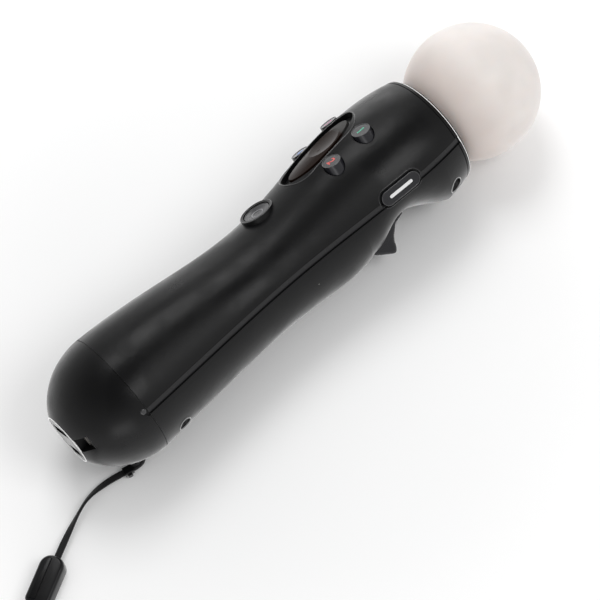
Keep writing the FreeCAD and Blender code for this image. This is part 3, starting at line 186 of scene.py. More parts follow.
def round_ended(length, width, steps):
    """The corners of a flat oblong with round ends: some of each half turn."""
    half, r = (length - width) / 2, width / 2
    return [(centre + r * cos(pi * k / steps + start), r * sin(pi * k / steps + start))
            for centre, start in ((half, -pi / 2), (-half, pi / 2)) for k in range(steps + 1)]

# %% [markdown]
# ## The wrist strap
#
# A thin cord goes round a bar in the tail cap and back. A crimp joins it to a flat woven tape,
# and the tape runs through a sliding lock into the wrist loop. Each run starts as a NURBS curve
# through the same few points as in the CAD model, in metres. A bevelled curve would do for the
# round cord. The tape is flat and turns over on its way, so its section is swept as a mesh,
# along points that are read from the NURBS curve, and each ring of the sweep is turned a little.

# %% The routes, in metres
LOOP_ROUTE = [(-.08884, -.01348, .0011), (-.0838, -.0160, .0036), (-.08527, -.01118, .00848),
              (-.08847, -.01118, .00845), (-.0847, -.0151, .0044), (-.08854, -.01222, .0011)]
BAND_ROUTE = [(-.0918, -.0121, .0011), (-.1022, -.0096, .0019), (-.1144, -.0138, .0019),
              (-.1256, -.0198, .0021)]
WRIST_ROUTE = [(-.14262, -.02721, .0024), (-.15143, -.03194, .0012), (-.164, -.0355),
               (-.179, -.036), (-.19, -.043), (-.191, -.053), (-.184, -.0625), (-.17, -.067),
               (-.146, -.0645), (-.123, -.0665), (-.118, -.0615), (-.118, -.0545),
               (-.123, -.0495), (-.137, -.0495), (-.1495, -.054), (-.157, -.05),
               (-.1578, -.0415), (-.15001, -.03458), (-.1412, -.02986)]
TAPE_WIDTH, TAPE_THICK, CORD_THICK = 2.3 * MM, 0.9 * MM, 1.2 * MM


def centreline(route, height=TAPE_THICK / 2):
    """The points of a NURBS curve with this route. A point without a height gets the given one."""
    curve = bpy.data.curves.new("route", "CURVE")
    curve.dimensions = "3D"
    spline = curve.splines.new("NURBS")
    spline.points.add(len(route) - 1)
    for point, place in zip(spline.points, route):
        point.co = (place[0], place[1], place[2] if len(place) > 2 else height, 1)
    spline.order_u = 3
    spline.use_endpoint_u = True
    spline.resolution_u = 16
    guide = bpy.data.objects.new("route", curve)
    mesh = bpy.data.meshes.new_from_object(guide)
    points = [v.co.copy() for v in mesh.vertices]
    bpy.data.objects.remove(guide)
    bpy.data.meshes.remove(mesh)
    return points


def run_length(points):
    return sum((b - a).length for a, b in zip(points, points[1:]))


lines = {"loop": centreline(LOOP_ROUTE), "band": centreline(BAND_ROUTE),
         "wrist": centreline(WRIST_ROUTE)}
for name, points in lines.items():
    print(name, "line:", len(points), "points,", round(run_length(points) / MM, 1), "mm")

# %% Sweep a section along a line, with its own UV map in metres
NEARLY_UPRIGHT = 0.3


def sweep(name, points, section, turn_at=lambda share: 0.0):
    """section lists (across, up) corners. The tape's side stays level, but for the turn that is
    asked for and where the line stands nearly upright."""
    total = run_length(points)
    verts, rings, uv_rows, gone = [], len(points), [], 0.0
    side = Vector((0, 0, 1)).cross(points[1] - points[0]).normalized()
    for i, point in enumerate(points):
        before, after = points[max(i - 1, 0)], points[min(i + 1, rings - 1)]
        way = (after - before).normalized()
        side = (side - way * side.dot(way)).normalized()
        level = Vector((0, 0, 1)).cross(way)
        if level.length > NEARLY_UPRIGHT:
            level.normalize()
            side = level if level.dot(side) > 0 else -level
        rise = way.cross(side)
        angle = turn_at(gone / total)
        across = side * cos(angle) + rise * sin(angle)
        upward = rise * cos(angle) - side * sin(angle)
        verts += [point + across * a + upward * b for a, b in section]
        uv_rows.append(gone)
        gone += (after - point).length
    count = len(section)
    faces = [(i * count + j, i * count + (j + 1) % count, (i + 1) * count + (j + 1) % count,
              (i + 1) * count + j) for i in range(rings - 1) for j in range(count)]
    faces.append(tuple(range(count))[::-1])
    faces.append(tuple((rings - 1) * count + j for j in range(count)))
    mesh = bpy.data.meshes.new(name)
    mesh.from_pydata(verts, [], faces)
    around = [0.0]
    for (a, b), (c, d) in zip(section, section[1:] + section[:1]):
        around.append(around[-1] + ((a - c) ** 2 + (b - d) ** 2) ** 0.5)
    uv = mesh.uv_layers.new(name="along").data
    for face in mesh.polygons:
        for k, (loop, vertex) in enumerate(zip(face.loop_indices, face.vertices)):
            ring, j = divmod(vertex, count)
            closing = face.index % count == count - 1 and k in (1, 2) and j == 0
            uv[loop].uv = (uv_rows[ring], around[-1] if closing else around[j])
    obj = bpy.data.objects.new(name, mesh)
    bpy.context.scene.collection.objects.link(obj)
    select_only(obj)
    edit_all()
    bpy.ops.mesh.normals_make_consistent(inside=False)
    bpy.ops.object.mode_set(mode="OBJECT")
    return settle(obj, name)


# The cord is round. The tape has round edges, as it has where it is folded at its selvedge.
CORD_SIDES, EDGE_SIDES, MOST_LEAN, LEAN_REACH = 14, 5, radians(62), 0.42
cord_section = [(CORD_THICK / 2 * cos(a), CORD_THICK / 2 * sin(a)) for a in turns(CORD_SIDES)]
flat_section = round_ended(TAPE_WIDTH, TAPE_THICK, EDGE_SIDES)


def lean(share):
    """The tape stands on its edge for a short stretch, and lies flat at both ends."""
    near = max(0.0, 1 - abs(share - 0.5) / LEAN_REACH)
    return MOST_LEAN * near * near * (3 - 2 * near)


strap_cord = sweep("strap_cord", lines["loop"], cord_section)
strap_tape = sweep("strap_tape", lines["band"], flat_section, lean)
wrist_tape = sweep("wrist_tape", lines["wrist"], flat_section)
print("strap faces:", [len(o.data.polygons) for o in (strap_cord, strap_tape, wrist_tape)])

# %% [markdown]
# ## The sliding lock
#
# The lock is a small moulded block with a round nose, a raised plain panel along one side and a
# tongue at the end where the two ends of the wrist loop come out. A cube takes all of that:
# bevels round its nose and edges, a bisect splits the top for the panel, and inset and extrude
# raise the panel and push out the tongue. Sculpting would also work, but wouldn't keep the sizes.

# %% Model the sliding lock
LOCK_LENGTH, LOCK_WIDTH, LOCK_HEIGHT, TONGUE = 16.7 * MM, 8.2 * MM, 5.0 * MM, 1.8 * MM
NOSE_ROUND, END_ROUND, TOP_ROUND, FOOT_ROUND = 3.7 * MM, 1.7 * MM, 1.2 * MM, 0.5 * MM
PANEL_SIDE, PANEL_MARGIN, PANEL_RISE = -0.4 * MM, 0.2 * MM, 0.35 * MM
TONGUE_MARGIN, TINY = 0.45 * MM, 0.02 * MM
way = Vector((-.8815, -.4722, 0))
LOCK_PLACE = (Matrix.Translation((-.1256, -.0198, 0))
              @ Matrix((way, Vector((-way.y, way.x, 0)), Vector((0, 0, 1)))).transposed().to_4x4())
bpy.ops.mesh.primitive_cube_add(size=1)
lock = bpy.context.active_object
lock.data.transform(Matrix.Diagonal((LOCK_LENGTH, LOCK_WIDTH, LOCK_HEIGHT, 1))
                    @ Matrix.Translation((0.5, 0, 0.5)))
for at, offset in ((0, NOSE_ROUND), (LOCK_LENGTH, END_ROUND)):
    select_edges(lock, lambda a, b: abs(a.x - at) < TINY and abs(b.x - at) < TINY
                 and abs(a.y - b.y) < TINY)
    bpy.ops.mesh.bevel(offset=offset, segments=8, affect="EDGES")
for level, offset in ((LOCK_HEIGHT, TOP_ROUND), (0, FOOT_ROUND)):
    select_edges(lock, lambda a, b: abs(a.z - level) < TINY and abs(b.z - level) < TINY)
    bpy.ops.mesh.bevel(offset=offset, segments=5, affect="EDGES")
bpy.ops.mesh.select_all(action="SELECT")
bpy.ops.mesh.bisect(plane_co=(0, PANEL_SIDE, 0), plane_no=(0, 1, 0))
panel = select_faces(lock, lambda c, n: n.z > 0.99 and c.y < PANEL_SIDE)
bpy.ops.mesh.inset(thickness=PANEL_MARGIN)
bpy.ops.mesh.extrude_region_move(TRANSFORM_OT_translate={"value": (0, 0, PANEL_RISE)})
bpy.ops.mesh.inset(thickness=0.16 * MM, depth=0.08 * MM)
end = select_faces(lock, lambda c, n: n.x > 0.99 and c.x > LOCK_LENGTH - TINY)
bpy.ops.mesh.inset(thickness=TONGUE_MARGIN)
bpy.ops.mesh.extrude_region_move(TRANSFORM_OT_translate={"value": (TONGUE, 0, 0)})
bpy.ops.mesh.inset(thickness=0.25 * MM, depth=0.15 * MM)
bpy.ops.object.mode_set(mode="OBJECT")
settle(lock, "sliding_lock", LOCK_PLACE)
print("faces of the panel, the end and the lock:", panel, end, len(lock.data.polygons))

# %% [markdown]
# ## The trigger
#
# The trigger is one moulded lever with soft, finger-worn edges, and the CAD piece has sharp ones.
# A bevel needs clean edge loops, which a CAD mesh of loose triangles doesn't have. So a copy of it
# is merged, remade by a voxel Remesh as a mesh of even small faces, and smoothed a few times,
# which rounds every edge alike and keeps the shape. The long edges beside the blade are smoothed
# more, because fingers reach them. Its front is then pushed in a little with a soft falloff, as
# a fingertip fits in it.

# %% Round the trigger's edges
VOXEL, EDGE_PASSES, SIDE_PASSES = 0.22 * MM, 10, 50
BLADE_TOP, BLADE_SIDE = -14.5 * MM, 5.4 * MM
FRONT_MIDDLE, FRONT_NEAR = Vector((-52.4 * MM, 0, -18.9 * MM)), 0.5 * MM
DIP, DIP_REACH = Vector((-0.55 * MM, 0, 0.25 * MM)), 3.2 * MM
trigger = nodes["trigger"].copy()
trigger.data = nodes["trigger"].data.copy()
bpy.context.scene.collection.objects.link(trigger)
select_only(trigger)
edit_all()
bpy.ops.mesh.remove_doubles(threshold=0.005 * MM)
bpy.ops.object.mode_set(mode="OBJECT")
remesh = trigger.modifiers.new("remesh", "REMESH")
remesh.mode = "VOXEL"
remesh.voxel_size = VOXEL
apply_all(trigger)
edit_all()
bpy.ops.mesh.vertices_smooth(factor=0.5, repeat=EDGE_PASSES)
sides = select_points(trigger, lambda p: p.z < BLADE_TOP and abs(p.y) > BLADE_SIDE)
bpy.ops.mesh.vertices_smooth(factor=0.5, repeat=SIDE_PASSES)
front = select_points(trigger, lambda p: (p - FRONT_MIDDLE).xz.length < FRONT_NEAR)
bpy.ops.transform.translate(value=LIES.to_3x3() @ DIP, use_proportional_edit=True,
                            proportional_size=DIP_REACH, proportional_edit_falloff="SMOOTH")
bpy.ops.object.mode_set(mode="OBJECT")
settle(trigger, "trigger_lever", smooth=60)
print("trigger faces:", len(trigger.data.polygons), "sides", sides, "front", front)

# %% [markdown]
# ## Lips that catch the light
#
# A moulded edge is never sharp. The edge of the bezel round the big button, the rims of the
# screw wells, the rim under the ball and the edge of the end face each show as a thin line. The
# beads of the wells, of the rim and of the end face are coloured pale as a painted highlight.
# Bevelling the CAD mesh would change the frame, so each lip is its own thin bead. Where the
# surface curves, the line is found by casting rays at the CAD piece, so that it follows it.

# %% Cast rays at the CAD pieces, and run beads along what they hit
RAY_START, LONGEST_STEP, DOWN = 60 * MM, 1.2 * MM, Vector((0, 0, -1))


def touch(names, start, aim):
    """Where a ray meets the first of these nodes, in the wand's own directions."""
    best = None
    for name in names:
        hit, place, normal, _ = nodes[name].ray_cast(LIES @ start, LIES.to_3x3() @ aim)
        if hit:
            place = STANDS @ place
            normal = (STANDS.to_3x3() @ normal).normalized()
            far = (place - start).dot(aim)
            if best is None or far < best[0]:
                best = (far, place, normal)
    return best[1], best[2]


def bead(name, points, radius):
    """A thin closed bead: a curve with a round section, turned into a mesh."""
    curve = bpy.data.curves.new(name, "CURVE")
    curve.dimensions = "3D"
    spline = curve.splines.new("POLY")
    spline.points.add(len(points) - 1)
    for point, place in zip(spline.points, points):
        point.co = (*place, 1)
    spline.use_cyclic_u = True
    curve.bevel_depth = radius
    curve.bevel_resolution = 3
    obj = bpy.data.objects.new(name, curve)
    bpy.context.scene.collection.objects.link(obj)
    select_only(obj)
    bpy.ops.object.convert(target="MESH")
    return settle(bpy.context.active_object, name, LIES, 60)


def ring_round(station, radius):
    """A circle round the wand's own axis, at a distance behind the ball's centre."""
    return [Vector((-station, radius * cos(a), radius * sin(a))) for a in turns(120)]


def ring_on(names, station, offset, radius, aim=-1):
    """A circle dropped on the nodes from above, or raised to them from below with an aim of 1."""
    start = Vector((0, offset, -RAY_START * aim))
    flat = [Vector((radius * cos(a) - station, radius * sin(a), 0)) for a in turns(48)]
    return [touch(names, place + start, Vector((0, 0, aim)))[0] for place in flat]


def oval_points(length, width):
    """A line round an oblong with round ends. Long steps are divided, so that the line can be
    laid on a curved surface."""
    points, filled = round_ended(length, width, 26), []
    for a, b in zip(points, points[1:] + points[:1]):
        steps = max(1, int(((a[0] - b[0]) ** 2 + (a[1] - b[1]) ** 2) ** 0.5 / LONGEST_STEP))
        filled += [(a[0] + (b[0] - a[0]) * k / steps, a[1] + (b[1] - a[1]) * k / steps)
                   for k in range(steps)]
    return filled


# %% Lips of the bezel, the ball's seat, the end face and the screw wells
LIP, END_LIP, LIP_GROW = 0.2 * MM, 0.24 * MM, 0.24 * MM
MOVE_STATION, BEZEL_LENGTH, BEZEL_WIDTH = 56 * MM, 33 * MM, 15.5 * MM
RIM_STATION, RIM_RADIUS, END_STATION, END_RADIUS = 20.42 * MM, 19.86 * MM, 176.86 * MM, 8.85 * MM
WELLS, WELL_RADIUS = ((28.2, 15.6), (28.2, -15.6), (146.4, 13.6), (146.4, -13.6)), 2.36 * MM
bezel_line = [touch(["front_shell"], Vector((x - MOVE_STATION, y, RAY_START)), DOWN)[0]
              for x, y in oval_points(BEZEL_LENGTH + LIP_GROW, BEZEL_WIDTH + LIP_GROW)]
bezel_lip = bead("bezel_lip", bezel_line, LIP)
rim_lip = bead("rim_lip", ring_round(RIM_STATION, RIM_RADIUS), LIP)
end_lip = bead("end_lip", ring_round(END_STATION, END_RADIUS), END_LIP)
well_lips = []
for number, (station, offset) in enumerate(WELLS):
    line = ring_on(["rear_shell"], station * MM, offset * MM, WELL_RADIUS, 1)
    well_lips.append(bead("well_lip_%d" % (number + 1), line, LIP))
print("lips:", [len(o.data.polygons) for o in (bezel_lip, rim_lip, end_lip, *well_lips)])

# %% [markdown]
# ## Printed marks
#
# The small buttons carry one coloured mark each, and the side buttons a plain white bar. Numbers
# are used here, because they are generic. A Text object gives clean letterforms, and it is made a
# mesh at once, so that it can be laid on the button's sloping top. A mark is 0.06 mm thick, like
# thick ink, which keeps it clear of the surface below it.

# %% Lay flat marks on the tops of the buttons
INK, NUMBER_HEIGHT = 0.06 * MM, 3.1 * MM
SIZE_PER_HEIGHT, STROKE_GAIN = 1.38, 0.012


def lay_on(place, normal, upward):
    """A matrix that lays a flat mark on a surface, with its own y along the given direction."""
    up_way = (upward - normal * upward.dot(normal)).normalized()
    across = up_way.cross(normal)
    return Matrix.Translation(place) @ Matrix((across, up_way, normal)).transposed().to_4x4()


def number_mark(name, text, height, matrix):
    letters = bpy.data.curves.new(name, "FONT")
    letters.body = text
    letters.size = height * SIZE_PER_HEIGHT
    letters.extrude = INK / 2
    letters.offset = height * STROKE_GAIN
    letters.align_x = "CENTER"
    letters.align_y = "CENTER"
    letters.resolution_u = 6
    obj = bpy.data.objects.new(name, letters)
    bpy.context.scene.collection.objects.link(obj)
    select_only(obj)
    bpy.ops.object.convert(target="MESH")
    obj = bpy.context.active_object
    xs = [v.co.x for v in obj.data.vertices]
    ys = [v.co.y for v in obj.data.vertices]
    centre = Matrix.Translation((-(min(xs) + max(xs)) / 2, -(min(ys) + max(ys)) / 2, INK / 3))
    return settle(obj, name, LIES @ matrix @ centre, 30)


FACE_BUTTONS = {"face_button_one": ("1", -44.1, -11.6), "face_button_two": ("2", -58.0, -11.6),
                "face_button_three": ("3", -44.1, 11.6), "face_button_four": ("4", -58.0, 11.6)}
AHEAD = Vector((1, 0, 0))
marks = {}
for node, (text, x, y) in FACE_BUTTONS.items():
    place, normal = touch([node], Vector((x * MM, y * MM, RAY_START)), DOWN)
    marks[node] = number_mark("number_" + text, text, NUMBER_HEIGHT, lay_on(place, normal, AHEAD))
    print(node, "top at", [round(v / MM, 2) for v in place])

# %% Bars on the side buttons
PILL_STATION, PILL_HEIGHT, PILL_LENGTH, PILL_WIDTH = 47 * MM, 0.2 * MM, 15 * MM, 5.1 * MM
START_BAR, SELECT_BAR, BAR_WIDTH = 9.2 * MM, 5.6 * MM, 1.1 * MM


def from_side(names, side, x, z):
    """Where a ray from the right (-1) or the left (1) meets the nodes, and the normal there."""
    return touch(names, Vector((x, side * RAY_START, z)), Vector((0, -side, 0)))


def bar_mark(name, node, length, width, side):
    """A plane with rounded corners, given the thickness of the ink."""
    bpy.ops.mesh.primitive_plane_add(size=1)
    obj = bpy.context.active_object
    obj.data.transform(Matrix.Diagonal((length, width, 1, 1)))
    edit_all()
    bpy.ops.mesh.bevel(offset=width * 0.45, segments=6, affect="VERTICES")
    bpy.ops.mesh.extrude_region_move(TRANSFORM_OT_translate={"value": (0, 0, INK)})
    bpy.ops.mesh.select_all(action="SELECT")
    bpy.ops.mesh.normals_make_consistent(inside=False)
    bpy.ops.object.mode_set(mode="OBJECT")
    place, normal = from_side([node], side, -PILL_STATION, PILL_HEIGHT)
    turned = lay_on(place - normal * INK / 3, normal, Vector((0, 0, 1)))
    return settle(obj, name, LIES @ turned, 30)


marks["start_button"] = bar_mark("start_bar", "start_button", START_BAR, BAR_WIDTH, -1)
marks["select_button"] = bar_mark("select_bar", "select_button", SELECT_BAR, BAR_WIDTH, 1)

# %% A plain ring on the home button
HOME_STATION, HOME_RADIUS = 84.6 * MM, 4.65 * MM
RING_RADIUS, RING_THICK, RING_FLAT, RING_LIFT = 2.0 * MM, 0.24 * MM, 0.35, 0.01 * MM
top = touch(["home_button"], Vector((-HOME_STATION, RING_RADIUS, RAY_START)), DOWN)[0]
bpy.ops.mesh.primitive_torus_add(major_segments=64, minor_segments=8, major_radius=RING_RADIUS,
                                 minor_radius=RING_THICK)
home_ring = bpy.context.active_object
edit_all()
bpy.ops.transform.resize(value=(1, 1, RING_FLAT))
bpy.ops.object.mode_set(mode="OBJECT")
home_place = Matrix.Translation((-HOME_STATION, 0, top.z + RING_LIFT))
marks["home_button"] = settle(home_ring, "home_ring", LIES @ home_place, 60)
print("marks:", sorted(o.name for o in marks.values()))

# %% [markdown]
# ## Edges and pins
#
# The rims of the buttons are rounded and catch the light, and their beads are coloured lighter
# than the buttons as a painted highlight. Each gets its own bead, which moves with its button. The
# side buttons sit in a recess with a fine lip of its own. Two small domed pins hold the tail cap
# where it meets the channel in the handle: each is a short cylinder whose upper rim is bevelled
# until it is a dome.

# %% Rims of the buttons and of what they sit in
RIM, HOME_SEAT, PILL_SEAT, BUTTON_RADIUS = 0.15 * MM, 0.16 * MM, 0.12 * MM, 3.1 * MM
HOME_SEAT_GAP, PILL_SEAT_GROW, BOTH_SHELLS = 1.15 * MM, 1.7 * MM, ["front_shell", "rear_shell"]


def pill_line(names, side, grow):
    """The outline of a side button, made larger or smaller, and laid on the nodes."""
    return [from_side(names, side, x - PILL_STATION, z + PILL_HEIGHT)[0]
            for x, z in oval_points(PILL_LENGTH + grow, PILL_WIDTH + grow)]


rims = {node: bead("button_rim_" + text, ring_on([node], -x * MM, y * MM, BUTTON_RADIUS), RIM)
        for node, (text, x, y) in FACE_BUTTONS.items()}
home_line = ring_on(["home_button"], HOME_STATION, 0, HOME_RADIUS - RIM)
rims["home_button"] = bead("home_rim", home_line, RIM)
home_line = ring_on(["front_shell"], HOME_STATION, 0, HOME_RADIUS + HOME_SEAT_GAP)
seats = [bead("home_seat", home_line, HOME_SEAT)]
for word, side in (("start", -1), ("select", 1)):
    node = word + "_button"
    rims[node] = bead(word + "_rim", pill_line([node], side, -2 * RIM), RIM)
    line = pill_line(BOTH_SHELLS, side, PILL_SEAT_GROW)
    seats.append(bead(word + "_seat", line, PILL_SEAT))
print("rims:", sorted(o.name for o in rims.values()), "seats:", [o.name for o in seats])

# %% Domed pins beside the seam of the tail cap
PIN_RADIUS, PIN_DEPTH, PIN_DOME = 1.1 * MM, 1.2 * MM, 0.55 * MM
PIN_STATION, PIN_OUT = 155.9 * MM, 21.3 * MM
pins = []
for word, side in (("right", -1), ("left", 1)):
    bpy.ops.mesh.primitive_cylinder_add(vertices=40, radius=PIN_RADIUS, depth=PIN_DEPTH)
    pin = bpy.context.active_object
    select_edges(pin, lambda a, b: a.z > 0 and b.z > 0)
    bpy.ops.mesh.bevel(offset=PIN_DOME, segments=6, affect="EDGES")
    bpy.ops.object.mode_set(mode="OBJECT")
    pin_place = lay_on(Vector((-PIN_STATION, side * PIN_OUT, 0)), Vector((0, side, 0)), AHEAD)
    pins.append(settle(pin, "cap_pin_" + word, LIES @ pin_place))
print("pins:", [(o.name, len(o.data.polygons)) for o in pins])

# %% [markdown]
# ## Effects that several finishes share
#
# A node group keeps one effect in one place, and each material sets its own numbers on it. Four
# groups serve most finishes: the fine grain of a spark-worn mould, the uneven sheen that hands
# leave, sparse specks of dust, and the weave of tape. All of them only put out masks and heights;
# the shader itself stays in the material.

# %% A helper that starts a group
def new_group(name, inputs, outputs):
    tree = bpy.data.node_groups.new(name, "ShaderNodeTree")
    for label, value in inputs.items():
        kind = "NodeSocketVector" if value is None else "NodeSocketFloat"
        socket = tree.interface.new_socket(label, in_out="INPUT", socket_type=kind)
        if value is not None:
            socket.default_value = value
    for label in outputs:
        tree.interface.new_socket(label, in_out="OUTPUT", socket_type="NodeSocketFloat")
    return tree, tree.nodes.new("NodeGroupInput"), tree.nodes.new("NodeGroupOutput")


def feed(tree, socket, value):
    """Links a socket to another node's socket, or gives it a plain value."""
    if isinstance(value, bpy.types.NodeSocket):
        tree.links.new(value, socket)
    else:
        socket.default_value = value


def add(tree, kind, settings=None, **inputs):
    """A node with its settings and inputs. An input is a number or another node's socket."""
    node = tree.nodes.new(kind)
    for key, value in (settings or {}).items():
        setattr(node, key, value)
    for key, value in inputs.items():
        numbered = key[0] == "i" and key[1:].isdigit()
        feed(tree, node.inputs[int(key[1:]) if numbered else key], value)
    return node


def math(tree, operation, a, b=0.0, clamp=False):
    settings = {"operation": operation, "use_clamp": clamp}
    return add(tree, "ShaderNodeMath", settings, i0=a, i1=b).outputs[0]


def fade(tree, value, low, high, to_low=0.0, to_high=1.0):
    """Maps a value between two levels to another two, with soft ends."""
    node = add(tree, "ShaderNodeMapRange", {"interpolation_type": "SMOOTHSTEP"}, Value=value)
    levels = {"From Min": low, "From Max": high, "To Min": to_low, "To Max": to_high}
    for key, level in levels.items():
        feed(tree, node.inputs[key], level)
    return node.outputs[0]


# %% The mould's grain: fine pits over a slow, slight unevenness
grain, g_in, g_out = new_group("mould_grain", {"Vector": None, "Pitch": 2400.0, "Soft": 70.0},
                               ["Height", "Patch"])
pits = add(grain, "ShaderNodeTexNoise", Vector=g_in.outputs["Vector"], Scale=g_in.outputs["Pitch"],
           Detail=3.0, Roughness=0.6)
slow = add(grain, "ShaderNodeTexNoise", Vector=g_in.outputs["Vector"], Scale=g_in.outputs["Soft"],
           Detail=2.0)
grain.links.new(fade(grain, pits.outputs[0], 0.32, 0.68), g_out.inputs["Height"])
grain.links.new(fade(grain, slow.outputs[0], 0.35, 0.65), g_out.inputs["Patch"])

# %% What hands leave: smears along the handle, and rubbed places
hands, h_in, h_out = new_group("hand_wear", {"Vector": None, "Size": 60.0, "Amount": 0.5},
                               ["Smear", "Rub"])
long_way = add(hands, "ShaderNodeMapping", Vector=h_in.outputs["Vector"], Scale=(0.35, 1.0, 1.0))
smear = add(hands, "ShaderNodeTexNoise", Vector=long_way.outputs[0], Scale=h_in.outputs["Size"],
            Detail=4.0, Roughness=0.55, Distortion=0.6)
fine = add(hands, "ShaderNodeTexNoise", Vector=h_in.outputs["Vector"], Scale=900.0, Detail=3.0)
hands.links.new(fade(hands, smear.outputs[0], 0.42, 0.7), h_out.inputs["Smear"])
rubbed = math(hands, "MULTIPLY", fade(hands, fine.outputs[0], 0.45, 0.75), h_in.outputs["Amount"])
hands.links.new(rubbed, h_out.inputs["Rub"])

# %% Dust: a few small specks, one in some cells of a Voronoi pattern
dust, d_in, d_out = new_group("dust_specks", {"Vector": None, "Cells": 140.0, "Share": 0.25,
                                              "Size": 0.02}, ["Speck"])
cells = add(dust, "ShaderNodeTexVoronoi", Vector=d_in.outputs["Vector"],
            Scale=d_in.outputs["Cells"])
speck = math(dust, "LESS_THAN", cells.outputs["Distance"], d_in.outputs["Size"])
cell_value = add(dust, "ShaderNodeSeparateColor", Color=cells.outputs["Color"]).outputs[0]
chosen = math(dust, "LESS_THAN", cell_value, d_in.outputs["Share"])
dust.links.new(math(dust, "MULTIPLY", speck, chosen), d_out.inputs["Speck"])

# %% Weave: ribs along and across a tape, read from the tape's own UV map in metres
weave, w_in, w_out = new_group("tape_weave", {"Vector": None, "Ribs": 9000.0, "Picks": 6500.0},
                               ["Height", "Shade"])
uv = add(weave, "ShaderNodeSeparateXYZ", Vector=w_in.outputs["Vector"])
warp = math(weave, "SINE", math(weave, "MULTIPLY", uv.outputs[1], w_in.outputs["Ribs"]))
pick = math(weave, "SINE", math(weave, "MULTIPLY", uv.outputs[0], w_in.outputs["Picks"]))
cross = math(weave, "MULTIPLY", warp, pick)
fuzz = add(weave, "ShaderNodeTexNoise", Vector=w_in.outputs["Vector"], Scale=5200.0, Detail=2.0)
raised = math(weave, "ADD", fade(weave, cross, -1.0, 1.0), fuzz.outputs[0])
weave.links.new(raised, w_out.inputs["Height"])
weave.links.new(fade(weave, cross, -0.8, 0.9), w_out.inputs["Shade"])
print("groups:", [t.name for t in (grain, hands, dust, weave)])

# %% [markdown]
# ## Materials
#
# Each finish starts from the same recipe: a Principled shader whose colour, roughness and bump
# all vary a little over the surface. Patterns read Object coordinates, which are turned into the
# wand's own directions by a Mapping node of type Texture. So a smear runs along the handle, and
# a mask can lie at a fixed distance from the ball. Dark colours are written far below what the
# eye would guess, because a surface shows its sheen on top of its colour.

# %% The recipe
def new_finish(name):
    """A new material, its node tree and its shader."""
    material = bpy.data.materials.new(name)
    material.use_nodes = True
    return material, material.node_tree, material.node_tree.nodes["Principled BSDF"]


def wand_vector(tree):
    coordinates = add(tree, "ShaderNodeTexCoord")
    turned = add(tree, "ShaderNodeMapping", {"vector_type": "TEXTURE"},
                 Vector=coordinates.outputs["Object"], Location=tuple(LIES.translation),
                 Rotation=tuple(LIES.to_euler()))
    return turned.outputs[0]


def blend_colours(tree, factor, first, second):
    node = add(tree, "ShaderNodeMix", {"data_type": "RGBA"})
    for number, value in ((0, factor), (6, first), (7, second)):
        feed(tree, node.inputs[number], (*value, 1.0) if isinstance(value, tuple) else value)
    return node.outputs[2]


def opened(material):
    """A finish's tree, its shader's inputs, and what feeds its colour and its roughness."""
    tree = material.node_tree
    inputs = tree.nodes["Principled BSDF"].inputs
    tone, gloss = (inputs[label].links[0].from_socket for label in ("Base Color", "Roughness"))
    return tree, inputs, tone, gloss


def moulded(name, colour, rough, spread=0.06, pitch=2400.0, depth=0.25, smear=0.5, specks=0.0,
            **shader):
    """A moulded piece: its colour and gloss vary with the mould, with hands and with dust."""
    material, tree, body = new_finish(name)
    vector = wand_vector(tree)
    skin = add(tree, "ShaderNodeGroup", {"node_tree": grain}, Vector=vector, Pitch=pitch)
    worn = add(tree, "ShaderNodeGroup", {"node_tree": hands}, Vector=vector, Amount=smear)
    lighter = tuple(min(1.0, c * 1.45 + 0.002) for c in colour)
    darker = tuple(c * 0.8 for c in colour)
    smeared = math(tree, "MULTIPLY", worn.outputs["Smear"], smear * 0.6)
    tone = blend_colours(tree, smeared, colour, lighter)
    patched = math(tree, "MULTIPLY", skin.outputs["Patch"], 0.35)
    tone = blend_colours(tree, patched, tone, darker)
    gloss = fade(tree, skin.outputs["Patch"], 0.0, 1.0, rough - spread, rough + spread)
    smoothed = math(tree, "MULTIPLY", worn.outputs["Smear"], 0.07 * smear)
    gloss = math(tree, "SUBTRACT", gloss, smoothed)
    gloss = math(tree, "ADD", gloss, math(tree, "MULTIPLY", worn.outputs["Rub"], 0.05))
    if specks:
        spots = add(tree, "ShaderNodeGroup", {"node_tree": dust}, Vector=vector, Share=specks)
        tone = blend_colours(tree, spots.outputs[0], tone, (0.32, 0.32, 0.3))
        gloss = math(tree, "ADD", gloss, math(tree, "MULTIPLY", spots.outputs[0], 0.3), clamp=True)
    tree.links.new(tone, body.inputs["Base Color"])
    tree.links.new(gloss, body.inputs["Roughness"])
    bump = add(tree, "ShaderNodeBump", Height=skin.outputs["Height"], Strength=depth,
               Distance=0.02 * MM)
    tree.links.new(bump.outputs[0], body.inputs["Normal"])
    for label, value in shader.items():
        body.inputs[label.replace("_", " ")].default_value = value
    return material


casing = moulded("casing", (0.003, 0.003, 0.0033), 0.36, specks=0.35, Specular_IOR_Level=0.17,
                 Sheen_Weight=0.3, Sheen_Roughness=0.2)
trigger_skin = moulded("trigger", (0.008, 0.008, 0.010), 0.3, pitch=1800.0, Specular_IOR_Level=0.3)
seat_skin = moulded("seat", (0.008, 0.008, 0.009), 0.4, Specular_IOR_Level=0.2)
button_skin = moulded("buttons", (0.010, 0.010, 0.013), 0.24, spread=0.04, depth=0.12,
                      Specular_IOR_Level=0.3)
home_skin = moulded("home", (0.03, 0.03, 0.033), 0.3, depth=0.12, Specular_IOR_Level=0.3)
side_skin = moulded("side_buttons", (0.014, 0.014, 0.016), 0.34, depth=0.15,
                    Specular_IOR_Level=0.25)
lock_skin = moulded("strap_lock", (0.0045, 0.0045, 0.005), 0.34, depth=0.2, smear=0.3,
                    Specular_IOR_Level=0.2)
frame_skin = moulded("frame", (0.3, 0.3, 0.31), 0.5)
mat_skin = moulded("mat", (0.4, 0.4, 0.42), 0.6, pitch=1500.0)
foam_skin = moulded("foam", (0.05, 0.05, 0.05), 0.9, pitch=1100.0, depth=0.9)
print("casing nodes:", len(casing.node_tree.nodes))
